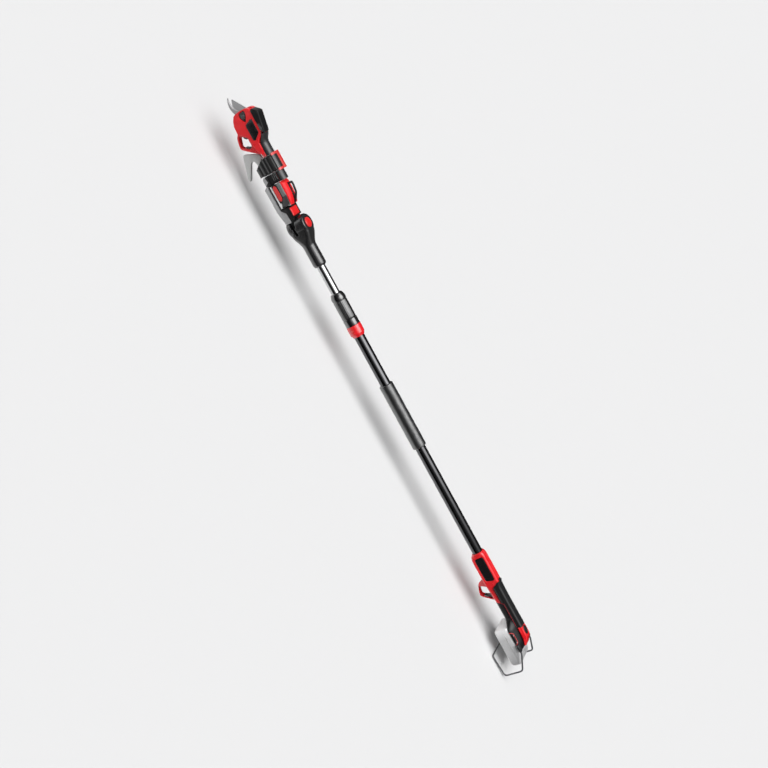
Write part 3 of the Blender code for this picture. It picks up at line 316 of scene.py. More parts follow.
def rubber(name, rgb, rough=0.55, spec=0.5, cell=700.0, depth=0.35, ior=1.5):
    """Overmoulded rubber: a fine leathery grain with duller, dustier hollows."""
    if name in MATS:
        return MATS[name]
    n = Nodes(name)
    cells = n.voronoi(cell)
    mottle = n.noise(35.0, 4.0, 0.6)
    colour = n.mix(n.spread(mottle, 0.0, 1.0), shade(rgb, 0.85), shade(rgb, 1.2))
    colour = n.mix(n.spread(cells, 0.35, 0.0, 0.0, 0.35), colour, shade(rgb, 1.7))
    n.link(colour, n.b.inputs["Base Color"])
    n.link(n.spread(n.noise(18.0, 4.0, 0.6), rough * 0.88, rough * 1.15), n.b.inputs["Roughness"])
    n.b.inputs["IOR"].default_value = ior
    n.b.inputs["Specular IOR Level"].default_value = spec
    h = n.bump(cells, depth, 0.0003)
    n.link(n.bump(n.noise(2600.0, 2.0), 0.12, 0.0001, h), n.b.inputs["Normal"])
    MATS[name] = n.m
    return n.m


def foam_skin(name, rgb):
    """Closed-cell foam sleeve: pitted skin with painted shade darkening the pits, and soft sheen."""
    n = Nodes(name)
    pits = n.voronoi(850.0)
    small = n.voronoi(1900.0)
    soft = n.noise(45.0, 4.0, 0.6)
    colour = n.mix(n.spread(soft, 0.0, 1.0), shade(rgb, 0.8), shade(rgb, 1.25))
    # painted shade: the pits are darkened to 0.3 of the foam's colour, shade painted into the hollows that the bump
    # makes
    colour = n.mix(n.spread(pits, 0.75, 0.0, 0.05, 0.30), colour, shade(rgb, 0.3))
    n.link(colour, n.b.inputs["Base Color"])
    n.link(n.spread(soft, 0.29, 0.38), n.b.inputs["Roughness"])
    n.b.inputs["Specular IOR Level"].default_value = 1.0
    n.b.inputs["IOR"].default_value = 1.6
    h = n.bump(pits, 0.28, 0.0004)
    h = n.bump(small, 0.18, 0.0002, h)
    n.link(n.bump(soft, 0.10, 0.0012, h), n.b.inputs["Normal"])
    return n.m


RED = (0.68, 0.009, 0.014)
RED_WEAR = (0.75, 0.12, 0.10)
BLACK = (0.0065, 0.0065, 0.007)
GREY_WEAR = (0.09, 0.09, 0.095)


def build_materials():
    m = {}
    m["tube_black"] = metal("tube_black", (0.078, 0.078, 0.081), 0.15, brushed=(0.02, 1, 1), grain=1300, depth=0.03, vary=0.05, metallic=0.97)
    m["tube_silver"] = metal("tube_silver", (0.33, 0.333, 0.337), 0.17, brushed=(0.02, 1, 1), grain=1300, depth=0.04, vary=0.05)
    m["foam"] = foam_skin("foam", (0.010, 0.010, 0.0105))
    m["nut_black"] = plastic("nut_black", BLACK, 0.19, 0.5, coat=0.3, ior=1.9, depth=0.05, wear=GREY_WEAR)
    m["ring_black"] = plastic("ring_black", BLACK, 0.17, 0.5, coat=0.3, ior=1.9, depth=0.04)
    m["collet_grey"] = plastic("collet_grey", (0.10, 0.10, 0.10), 0.5)
    m["collar_red"] = plastic("collar_red", RED, 0.22, 0.5, coat=0.2, ior=1.6, depth=0.04, wear=RED_WEAR)
    m["yoke_black"] = plastic("yoke_black", (0.013, 0.013, 0.0137), 0.25, 0.5, coat=0.25, ior=1.65, depth=0.08, wear=GREY_WEAR)
    # bolt_steel: partly the bolts' own dark steel and partly painted shade, kept this dark so the blade bolt reads as
    # the shaded recess it sits in
    m["bolt_steel"] = metal("bolt_steel", (0.13, 0.13, 0.135), 0.34, grain=1500)
    m["button_red"] = plastic("button_red", (0.66, 0.016, 0.016), 0.34, 0.5, depth=0.08, wear=RED_WEAR)
    m["knuckle_black"] = plastic("knuckle_black", BLACK, 0.4, 0.4)
    m["rail_alu"] = metal("rail_alu", (0.34, 0.342, 0.346), 0.50, brushed=(0.03, 1, 1), grain=1000, depth=0.10, metallic=0.35)
    m["plate_dark"] = plastic("plate_dark", (0.045, 0.044, 0.046), 0.42, 0.4)
    m["cover_black"] = plastic("cover_black", BLACK, 0.40, 0.3, ior=1.45)
    m["release_red"] = plastic("release_red", (0.66, 0.014, 0.015), 0.32, 0.5, depth=0.10, wear=RED_WEAR)
    m["adapter_black"] = plastic("adapter_black", BLACK, 0.38, 0.4)
    m["inlay_red"] = plastic("inlay_red", (0.60, 0.02, 0.02), 0.36, 0.5)
    m["saddle_black"] = plastic("saddle_black", (0.007, 0.007, 0.0075), 0.42, 0.4)
    m["band_black"] = rubber("band_black", (0.009, 0.009, 0.0095), 0.34, 0.7, cell=1100, depth=0.12)
    m["wire_steel"] = metal("wire_steel", (0.62, 0.62, 0.63), 0.25, grain=1500)
    m["latch_red"] = plastic("latch_red", (0.52, 0.022, 0.024), 0.34, 0.5, depth=0.08, wear=RED_WEAR)
    m["hook_grey"] = metal("hook_grey", (0.41, 0.414, 0.41), 0.42, grain=1200, depth=0.16, metallic=0.35, wear=(0.62, 0.62, 0.61))
    m["shears_red"] = plastic("shears_red", RED, 0.30, 0.38, coat=0.04, depth=0.09, wear=RED_WEAR)
    m["panel_black"] = plastic("panel_black", (0.009, 0.009, 0.010), 0.22, 0.7, depth=0.05)
    m["shears_cover_black"] = plastic("shears_cover_black", (0.006, 0.006, 0.0065), 0.40, 0.28, ior=1.45, depth=0.14, wear=GREY_WEAR)
    m["grip_rubber"] = rubber("grip_rubber", (0.016, 0.016, 0.017), 0.41, 0.68, cell=900, depth=0.22, ior=1.5)
    m["blade_steel"] = metal("blade_steel", (0.35, 0.35, 0.355), 0.28, brushed=(1, 1, 0.08), grain=1400, depth=0.10)
    m["blade_satin"] = metal("blade_satin", (0.34, 0.34, 0.345), 0.55, brushed=(1, 1, 0.08), grain=1400, depth=0.10, metallic=0.35)
    m["strip_grey"] = plastic("strip_grey", (0.62, 0.63, 0.63), 0.35, 0.5)
    m["gear_steel"] = metal("gear_steel", (0.45, 0.45, 0.46), 0.35)
    m["gearbox_grey"] = metal("gearbox_grey", (0.4, 0.4, 0.41), 0.4)
    m["motor_steel"] = metal("motor_steel", (0.5, 0.5, 0.5), 0.35)
    m["switch_black"] = plastic("switch_black", BLACK, 0.45)
    m["trigger_black"] = plastic("trigger_black", (0.012, 0.012, 0.013), 0.34, 0.7, wear=GREY_WEAR)
    m["foot_grey"] = rubber("foot_grey", (0.150, 0.158, 0.155), 0.50, 0.5, cell=900, depth=0.2)
    m["foot_red"] = plastic("foot_red", RED, 0.42, 0.30, coat=0.0, depth=0.09, wear=RED_WEAR)
    m["loop_black"] = plastic("loop_black", (0.008, 0.008, 0.008), 0.34, 0.6, wear=GREY_WEAR)
    m["handle_red"] = plastic("handle_red", RED, 0.26, 0.6, coat=0.1, depth=0.09, wear=RED_WEAR)
    m["handle_panel_black"] = plastic("handle_panel_black", (0.007, 0.007, 0.008), 0.24, 0.6, depth=0.05)
    m["handle_rubber"] = rubber("handle_rubber", (0.009, 0.009, 0.0095), 0.40, 0.40, cell=900, depth=0.2)
    m["handle_black"] = plastic("handle_black", (0.007, 0.007, 0.008), 0.30, 0.5)
    m["battery_foot_black"] = plastic("battery_foot_black", (0.006, 0.006, 0.0065), 0.32, 0.3, wear=GREY_WEAR)
    m["foot_inlay_red"] = plastic("foot_inlay_red", (0.56, 0.055, 0.06), 0.34, 0.5)
    m["foot_cap_red"] = plastic("foot_cap_red", RED, 0.24, 0.6, coat=0.1, depth=0.08, wear=RED_WEAR)
    m["button_black"] = plastic("button_black", (0.010, 0.010, 0.011), 0.26, 0.8)
    m["terminal_grey"] = plastic("terminal_grey", (0.1, 0.1, 0.1), 0.5)
    m["rear_trigger_black"] = plastic("rear_trigger_black", (0.010, 0.010, 0.011), 0.30, 0.7, wear=GREY_WEAR)
    m["lock_black"] = plastic("lock_black", (0.010, 0.010, 0.011), 0.34, 0.7)
    # pack_grey: the pale nose and dark tail colours are painted light and painted shade along the pack, not its own
    # colour
    m["pack_grey"] = plastic("pack_grey", (0.49, 0.49, 0.494), 0.42, 0.5, depth=0.10, vary=0.03, nose=(0.78, 0.78, 0.785), tail=(0.36, 0.36, 0.364))
    m["pack_button_grey"] = plastic("pack_button_grey", (0.34, 0.34, 0.344), 0.42, 0.5, vary=0.03)
    m["stand_steel"] = metal("stand_steel", (0.10, 0.10, 0.105), 0.34, grain=1500, depth=0.05, metallic=0.6)
    m["lead_black"] = rubber("lead_black", (0.015, 0.015, 0.015), 0.5)
    m["pin_red"] = plastic("pin_red", (0.30, 0.006, 0.014), 0.3, 0.4)
    return m


M = build_materials()


# ================================================================ shape helpers (input in mm, tool frame)
def mesh_object(name, verts, faces):
    me = bpy.data.meshes.new(name)
    me.from_pydata([(x * MM, y * MM, z * MM) for x, y, z in verts], [], faces)
    bm = bmesh.new()
    bm.from_mesh(me)
    bmesh.ops.remove_doubles(bm, verts=bm.verts, dist=1e-6)
    bmesh.ops.recalc_face_normals(bm, faces=bm.faces)
    bm.to_mesh(me)
    bm.free()
    ob = bpy.data.objects.new(name, me)
    bpy.context.scene.collection.objects.link(ob)
    return ob


def bake(ob):
    dg = bpy.context.evaluated_depsgraph_get()
    me = bpy.data.meshes.new_from_object(ob.evaluated_get(dg))
    ob.modifiers.clear()
    ob.data = me
    return ob


def combine(ob, other, operation="DIFFERENCE"):
    m = ob.modifiers.new("boolean", "BOOLEAN")
    m.operation = operation
    m.solver = "EXACT"
    m.object = other
    bake(ob)
    bpy.data.objects.remove(other, do_unlink=True)
    return ob


def tidy(ob, merge=2e-6, flat=0.6):
    bm = bmesh.new()
    bm.from_mesh(ob.data)
    bmesh.ops.remove_doubles(bm, verts=bm.verts, dist=merge)
    bmesh.ops.dissolve_degenerate(bm, edges=bm.edges, dist=merge)
    bmesh.ops.dissolve_limit(bm, angle_limit=math.radians(flat), verts=bm.verts, edges=bm.edges)
    bmesh.ops.recalc_face_normals(bm, faces=bm.faces)
    bm.to_mesh(ob.data)
    bm.free()
    return ob


def bevel(ob, width, segments=3, angle=30.0, clamp=True):
    m = ob.modifiers.new("bevel", "BEVEL")
    m.width = width * MM
    m.segments = segments
    m.limit_method = "ANGLE"
    m.angle_limit = math.radians(angle)
    m.use_clamp_overlap = clamp
    m.harden_normals = False
    return bake(ob)


def soften(ob, voxel=0.8, relax=5, keep=0.35):
    """One even, closed skin over the shape with all its edges rounded, as a moulding has."""
    m = ob.modifiers.new("remesh", "REMESH")
    m.mode = "VOXEL"
    m.voxel_size = voxel * MM
    m.adaptivity = 0.0
    bake(ob)
    m = ob.modifiers.new("relax", "SMOOTH")
    m.factor = 0.5
    m.iterations = relax
    bake(ob)
    if keep < 1:
        m = ob.modifiers.new("thin", "DECIMATE")
        m.ratio = keep
        bake(ob)
    return ob


def loft(name, rings):
    n = len(rings[0])
    verts = [p for r in rings for p in r]
    faces = []
    for k in range(len(rings) - 1):
        for i in range(n):
            j = (i + 1) % n
            faces.append((k * n + i, k * n + j, (k + 1) * n + j, (k + 1) * n + i))
    faces.append(tuple(range(n)))
    faces.append(tuple((len(rings) - 1) * n + i for i in range(n)))
    return mesh_object(name, verts, faces)


def rounded(x, w_low, w_high, z_low, z_high, r, k=8):
    pts = []
    r = min(r, (z_high - z_low) / 2 - 0.05, w_low - 0.05, w_high - 0.05)
    corners = [(w_high - r, z_high - r, 0), (-(w_high - r), z_high - r, 90), (-(w_low - r), z_low + r, 180), (w_low - r, z_low + r, 270)]
    for cy, cz, a0 in corners:
        for i in range(k + 1):
            a = math.radians(a0 + 90.0 * i / k)
            pts.append((x, cy + r * math.cos(a), cz + r * math.sin(a)))
    return pts


def hat(x, w_low, w_high, z_low, z_high, r, r_low=0.8, k=8):
    """A section with well rounded upper corners and tight lower ones."""
    pts = []
    r = min(r, (z_high - z_low - r_low) * 0.8, w_high - 0.05)
    for cy, cz, q, a0 in ((w_high - r, z_high - r, r, 0), (-(w_high - r), z_high - r, r, 90), (-(w_low - r_low), z_low + r_low, r_low, 180), (w_low - r_low, z_low + r_low, r_low, 270)):
        for i in range(k + 1):
            a = math.radians(a0 + 90.0 * i / k)
            pts.append((x, cy + q * math.cos(a), cz + q * math.sin(a)))
    return pts


def between(stations, step=3.0):
    """Rows of numbers (x first) refined along x by a smooth curve through them."""
    out = []
    for i in range(len(stations) - 1):
        p0 = stations[max(i - 1, 0)]
        p1, p2 = stations[i], stations[i + 1]
        p3 = stations[min(i + 2, len(stations) - 1)]
        n = max(1, int(round(abs(p2[0] - p1[0]) / step)))
        for k in range(n):
            t = k / n
            row = [p1[0] + (p2[0] - p1[0]) * t]
            for c in range(1, len(p1)):
                h = p2[0] - p1[0]
                m1 = (p2[c] - p0[c]) / (p2[0] - p0[0]) * h if p2[0] != p0[0] else p2[c] - p1[c]
                m2 = (p3[c] - p1[c]) / (p3[0] - p1[0]) * h if p3[0] != p1[0] else p2[c] - p1[c]
                row.append((2 * t ** 3 - 3 * t ** 2 + 1) * p1[c] + (t ** 3 - 2 * t ** 2 + t) * m1 + (-2 * t ** 3 + 3 * t ** 2) * p2[c] + (t ** 3 - t ** 2) * m2)
            out.append(row)
    out.append(list(stations[-1]))
    return out


def slab(name, outline, y0, y1):
    return loft(name, [[(x, y0, z) for x, z in outline], [(x, y1, z) for x, z in outline]])


def plate(name, outline, z0, z1):
    return loft(name, [[(x, y, z0) for x, y in outline], [(x, y, z1) for x, y in outline]])


def box(name, x0, x1, y0, y1, z0, z1):
    return slab(name, [(x0, z0), (x1, z0), (x1, z1), (x0, z1)], y0, y1)


def smooth_outline(points, n=7, keep=(), cut=0.28):
    out = []
    m = len(points)
    for i, p in enumerate(points):
        if i in keep:
            out.append(p)
            continue
        a, b = points[i - 1], points[(i + 1) % m]
        p0 = (p[0] + (a[0] - p[0]) * cut, p[1] + (a[1] - p[1]) * cut)
        p2 = (p[0] + (b[0] - p[0]) * cut, p[1] + (b[1] - p[1]) * cut)
        for k in range(n):
            t = k / (n - 1)
            out.append(tuple((1 - t) ** 2 * u + 2 * t * (1 - t) * v + t * t * w for u, v, w in zip(p0, p, p2)))
    return out


def even(points, step=1.5):
    """A closed outline with points added so that no side is longer than step."""
    out = []
    m = len(points)
    for i, p in enumerate(points):
        q = points[(i + 1) % m]
        d = math.dist(p, q)
        k = max(1, int(d / step))
        for j in range(k):
            out.append((p[0] + (q[0] - p[0]) * j / k, p[1] + (q[1] - p[1]) * j / k))
    return out


def inset(points, d):
    """A closed (x, z) outline moved inwards by d."""
    m = len(points)
    area = sum(points[i][0] * points[(i + 1) % m][1] - points[(i + 1) % m][0] * points[i][1] for i in range(m)) / 2
    sign = 1 if area > 0 else -1
    out = []
    for i, p in enumerate(points):
        a, b = points[i - 1], points[(i + 1) % m]
        e1, e2 = (p[0] - a[0], p[1] - a[1]), (b[0] - p[0], b[1] - p[1])
        l1, l2 = math.hypot(*e1) or 1e-9, math.hypot(*e2) or 1e-9
        n1, n2 = (-e1[1] / l1 * sign, e1[0] / l1 * sign), (-e2[1] / l2 * sign, e2[0] / l2 * sign)
        nx, nz = n1[0] + n2[0], n1[1] + n2[1]
        q = nx * nx + nz * nz
        k = 2.0 / max(q, 1.0)
        dd = d[i] if isinstance(d, list) else d
        out.append((p[0] + nx * k * dd, p[1] + nz * k * dd))
    return out


def pillow(name, outline, y0, y1, r, n=4, both=True):
    """An (x, z) outline pushed along Y with its rim rounded by r at the y1 end (and at y0 if both)."""
    s = 1 if y1 > y0 else -1
    rings = []
    if both:
        for k in range(n + 1):
            a = math.pi / 2 * k / n
            rings.append((inset(outline, r * (1 - math.sin(a))), y0 + s * r * (1 - math.cos(a))))
    else:
        rings.append((outline, y0))
    for k in range(n + 1):
        a = math.pi / 2 * k / n
        rings.append((inset(outline, r * (1 - math.cos(a))), y1 - s * r * (1 - math.sin(a))))
    return loft(name, [[(x, y, z) for x, z in o] for o, y in rings])


def turned(name, profile, seg=72, centre=(0.0, 0.0)):
    rings = []
    for i in range(seg):
        a = 2 * math.pi * i / seg
        rings.append([(x, centre[0] + r * math.cos(a), centre[1] + r * math.sin(a)) for x, r in profile])
    n = len(profile)
    verts = [p for r in rings for p in r]
    faces = []
    for k in range(seg):
        kk = (k + 1) % seg
        for i in range(n):
            j = (i + 1) % n
            if profile[i][1] < 1e-6 and profile[j][1] < 1e-6:
                continue
            faces.append((k * n + i, k * n + j, kk * n + j, kk * n + i))
    ob = mesh_object(name, verts, faces)
    bm = bmesh.new()
    bm.from_mesh(ob.data)
    bmesh.ops.remove_doubles(bm, verts=bm.verts, dist=1e-6)
    bmesh.ops.dissolve_degenerate(bm, edges=bm.edges, dist=1e-7)
    bmesh.ops.recalc_face_normals(bm, faces=bm.faces)
    bm.to_mesh(ob.data)
    bm.free()
    return ob


def arc_profile(points, r=0.8, n=4):
    """A closed profile with its corners rounded by up to r mm (corners on the axis stay)."""
    out = []
    m = len(points)
    for i, p in enumerate(points):
        a, b = points[i - 1], points[(i + 1) % m]
        if p[1] < 1e-6:
            out.append(p)
            continue
        la, lb = math.dist(a, p), math.dist(b, p)
        ra = min(r, la * 0.45, lb * 0.45)
        if ra < 0.02:
            out.append(p)
            continue
        p0 = (p[0] + (a[0] - p[0]) * ra / la, p[1] + (a[1] - p[1]) * ra / la)
        p2 = (p[0] + (b[0] - p[0]) * ra / lb, p[1] + (b[1] - p[1]) * ra / lb)
        for k in range(n + 1):
            t = k / n
            out.append(tuple((1 - t) ** 2 * u + 2 * t * (1 - t) * v + t * t * w for u, v, w in zip(p0, p, p2)))
    return out


def turned_on(name, profile, at, axis, seg=48):
    ob = turned(name, profile, seg)
    for v in ob.data.vertices:
        h, a, b = v.co.x, v.co.y, v.co.z
        if axis == "Z":
            v.co = Vector((at[0] * MM + a, at[1] * MM + b, at[2] * MM + h))
        else:
            v.co = Vector((at[0] * MM + a, at[1] * MM + h, at[2] * MM + b))
    bm = bmesh.new()
    bm.from_mesh(ob.data)
    bmesh.ops.recalc_face_normals(bm, faces=bm.faces)
    bm.to_mesh(ob.data)
    bm.free()
    return ob


def mirrored(ob, name):
    me = ob.data.copy()
    for v in me.vertices:
        v.co.y = -v.co.y
    me.flip_normals()
    other = bpy.data.objects.new(name, me)
    bpy.context.scene.collection.objects.link(other)
    return other


DONE = set()


def done(ob, node, slot=None, mat=None, smooth=38.0, body=None, replace=True):
    """Puts a finished piece in the frame: place, finish, shading and the body it moves with."""
    ob.data.transform(Matrix.Translation(TOOL))
    slot = slot or mat
    ob.data.materials.clear()
    ob.data.materials.append(M[mat or slot])
    ob.data.shade_smooth()
    if smooth < 180:
        ob.data.set_sharp_from_angle(angle=math.radians(smooth))
    ob.data.name = ob.name
    if replace:
        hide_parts(node)
        DONE.add(node)
    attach(ob, body or NODE_BODY[node])
    return ob


def refine(node, slot, width=0.5, segments=3, angle=30.0, smooth=38.0, flat=1.0):
    """A finer skin for a solid whose shape is right: flat faces made whole, edges rounded."""
    src = frame["nodes"][node]
    me = src.data.copy()
    me.transform(Matrix.Translation(-TOOL))
    ob = bpy.data.objects.new(node + "_skin", me)
    bpy.context.scene.collection.objects.link(ob)
    tidy(ob, 4e-6, flat)
    if width:
        bevel(ob, width, segments, angle)
    return done(ob, node, slot, smooth=smooth)


# ================================================================ pole
def make_pole():
    done(turned("outer_tube_skin", arc_profile([(-196, 13.7), (-196, 15.0), (600, 15.0), (600, 13.7)], 0.4, 3), 96), "outer_tube", "tube_black")
    done(turned("inner_tube_skin", arc_profile([(-440, 11.2), (-440, 12.4), (480, 12.4), (480, 11.2)], 0.4, 3), 96), "inner_tube", "tube_silver")

    # foam sleeve: rolled ends and a slightly uneven skin
    prof = [(3.0, 15.35)] + [(3.0 + 2.6 * (1 - math.cos(math.radians(a))), 17.7 + 2.6 * math.sin(math.radians(a))) for a in range(0, 91, 15)]
    prof += [(x, 20.3) for x in range(9, 199, 4)]
    prof += [(204.0 - 2.6 * (1 - math.cos(math.radians(a))), 17.7 + 2.6 * math.sin(math.radians(a))) for a in range(90, -1, -15)] + [(204.0, 15.35)]
    foam = turned("foam_grip_skin", prof, 96)
    for vert in foam.data.vertices:
        r = math.hypot(vert.co.y, vert.co.z)
        if r > 0.0176:
            a = math.atan2(vert.co.z, vert.co.y)
            x = vert.co.x / MM
            w = 0.10 * math.sin(x * 0.11 + 2.0 * a) + 0.07 * math.sin(x * 0.23 - 3.0 * a + 1.3) + 0.05 * math.sin(x * 0.41 + 5 * a)
            k = (r / MM - 0.22 + w) / (r / MM)
            vert.co.y *= k
            vert.co.z *= k
    done(foam, "foam_grip", "foam", smooth=50)

    # clamp nut: smooth chamfered cap, then rounded ribs
    ribs, per = 23, 12
    rings = []
    for x, r, depth in ((-284.0, 14.6, 0), (-283.6, 15.4, 0), (-282.4, 16.7, 0), (-279.5, 17.9, 0), (-275.2, 19.6, 0), (-273.6, 20.2, 0), (-272.0, 20.6, 0), (-270.0, 20.7, 0), (-264.0, 20.7, 0), (-263.0, 20.5, 0),
                        (-262.5, 20.0, 0), (-262.2, 19.2, 0), (-261.6, 18.9, 0), (-260.9, 19.0, 0.1), (-260.4, 19.8, 0.3), (-259.4, 20.0, 0.4), (-250, 20.0, 0.4), (-230, 20.0, 0.4),
                        (-209.0, 20.0, 0.4), (-207.6, 19.8, 0.3), (-206.4, 19.3, 0.1), (-205.4, 19.0, 0), (-204.8, 18.6, 0)):
        ring = []
        for i in range(ribs * per):
            a = 2 * math.pi * i / (ribs * per)
            g = (0.5 + 0.5 * math.cos(a * ribs)) ** 5
            rr = r - depth * g
            ring.append((x, rr * math.cos(a), rr * math.sin(a)))
        rings.append(ring)
    nut = loft("clamp_nut_skin", rings)
    combine(nut, turned("bore", [(-290, 0), (-290, INNER_R + 0.35), (-258, INNER_R + 0.35), (-258, 17.3), (-199, 17.3), (-199, 0)], 96))
    done(nut, "clamp_nut", "nut_black", smooth=50)
    done(turned("collet_skin", arc_profile([(-256, 12.75), (-256, 15.6), (-254, 16.6), (-206, 16.6), (-205.4, 14.9), (-196.3, 14.9), (-196.3, 12.75)], 0.3, 2), 72), "collet", "collet_grey")
    done(turned("clamp_ring_skin", arc_profile([(-204.5, 15.3), (-204.5, 20.6), (-184.8, 20.6), (-184.8, 15.3)], 0.7, 4), 96), "clamp_ring", "ring_black")
    collar = turned("tube_collar_skin", arc_profile([(-184.5, 15.3), (-184.5, 21.3), (-159.5, 21.3), (-152.5, 17.6), (-151.0, 16.8), (-151.0, 15.3)], 1.0, 4), 96)
    # a moulded grip flat with two shallow grooves on each side of the collar
    for side in (-1, 1):
        for dx in (-176.0, -168.0):
            combine(collar, slab("groove", smooth_outline([(dx - 1.1, -7.5), (dx + 1.1, -7.5), (dx + 1.1, 7.5), (dx - 1.1, 7.5)], 5), side * 20.3, side * 30))
    done(collar, "tube_collar", "collar_red", smooth=45)


# ================================================================ head joint
def make_joint():
    st = [(-482, 24.6, -25.8, 31.2, 8), (-470, 24.0, -25.4, 30.6, 9.5), (-460, 23.0, -24.4, 28.8, 12), (-450, 21.4, -22.0, 25.4, 15), (-441, 20.2, -20.2, 21.8, 17.5), (-430, 18.95, -18.95, 18.95, 18.9),
          (-378, 18.95, -18.95, 18.95, 18.9)]
    rows = between(st, 3.0) + [[-373.5, 18.6, -18.6, 18.6, 18.5], [-371, 17.7, -17.7, 17.7, 17.6], [-369.0, 16.4, -16.4, 16.4, 16.3], [-368, 14.9, -14.9, 14.9, 14.8]]
    yoke = loft("fork_yoke_skin", [rounded(x, w, w, z0, z1, r, 12) for x, w, z0, z1, r in rows])
    puck = turned_on("puck", [(-26.5, 0), (-26.5, 21.0), (-25.6, 24.0), (-23.6, 26.0), (-21.0, 26.9), (-18, 27.0), (24.0, 27.0), (27.4, 26.4), (29.6, 25.4), (30.9, 24.2), (31.5, 23.0), (31.9, 20.6), (32.0, 18.6), (32.0, 0)],
                     (PIVOT_X, 0, 0), "Z", 96)
    combine(yoke, puck, "UNION")
    combine(yoke, box("slot", -530, -467.5, -40, 40, -10.0, -1.0))
    for y0, y1 in ((-30, -13), (13, 30)):
        combine(yoke, box("side_notch", -518, -489.5, y0, y1, -12.4, 3.2))
    combine(yoke, turned("socket", [(-441, 0), (-441, INNER_R + 0.3), (-360, INNER_R + 0.3), (-360, 0)], 64))
    combine(yoke, turned_on("bolt_way", [(-40, 0), (-40, 9.0), (-20.0, 9.0), (-20.0, 5.3), (14.5, 5.3), (14.5, 0)], (PIVOT_X, 0, 0), "Z", 48))
    combine(yoke, turned_on("button_way", [(16.5, 0), (16.5, 15.0), (50, 15.0), (50, 0)], (PIVOT_X, 0, 0), "Z", 64))
    soften(yoke, 0.62, 6, 0.30)
    done(yoke, "fork_yoke", "yoke_black", smooth=180)
    done(turned_on("pivot_bolt_skin", arc_profile([(-24.5, 0), (-24.5, 3.2), (-22.4, 3.2), (-22.4, 3.4), (-24.5, 3.4), (-24.5, 8.0), (-20.3, 8.0), (-20.3, 5.0), (13.5, 5.0), (14.2, 4.3), (14.2, 0)], 0.25, 2), (PIVOT_X, 0, 0), "Z", 48),
         "pivot_bolt", "bolt_steel")
    # push button: domed face with a raised rim and a shallow dish
    done(turned_on("tilt_button_skin", [(20.5, 0), (20.5, 14.4), (31.2, 14.4), (32.4, 14.1), (33.3, 13.4), (33.9, 12.4), (34.1, 11.2), (34.0, 10.0), (33.7, 8.5), (33.5, 6.0), (33.45, 3.0), (33.45, 0)], (PIVOT_X, 0, 0), "Z", 72),
         "tilt_button", "button_red", smooth=60)
    refine("tilt_knuckle", "knuckle_black", 0.5)


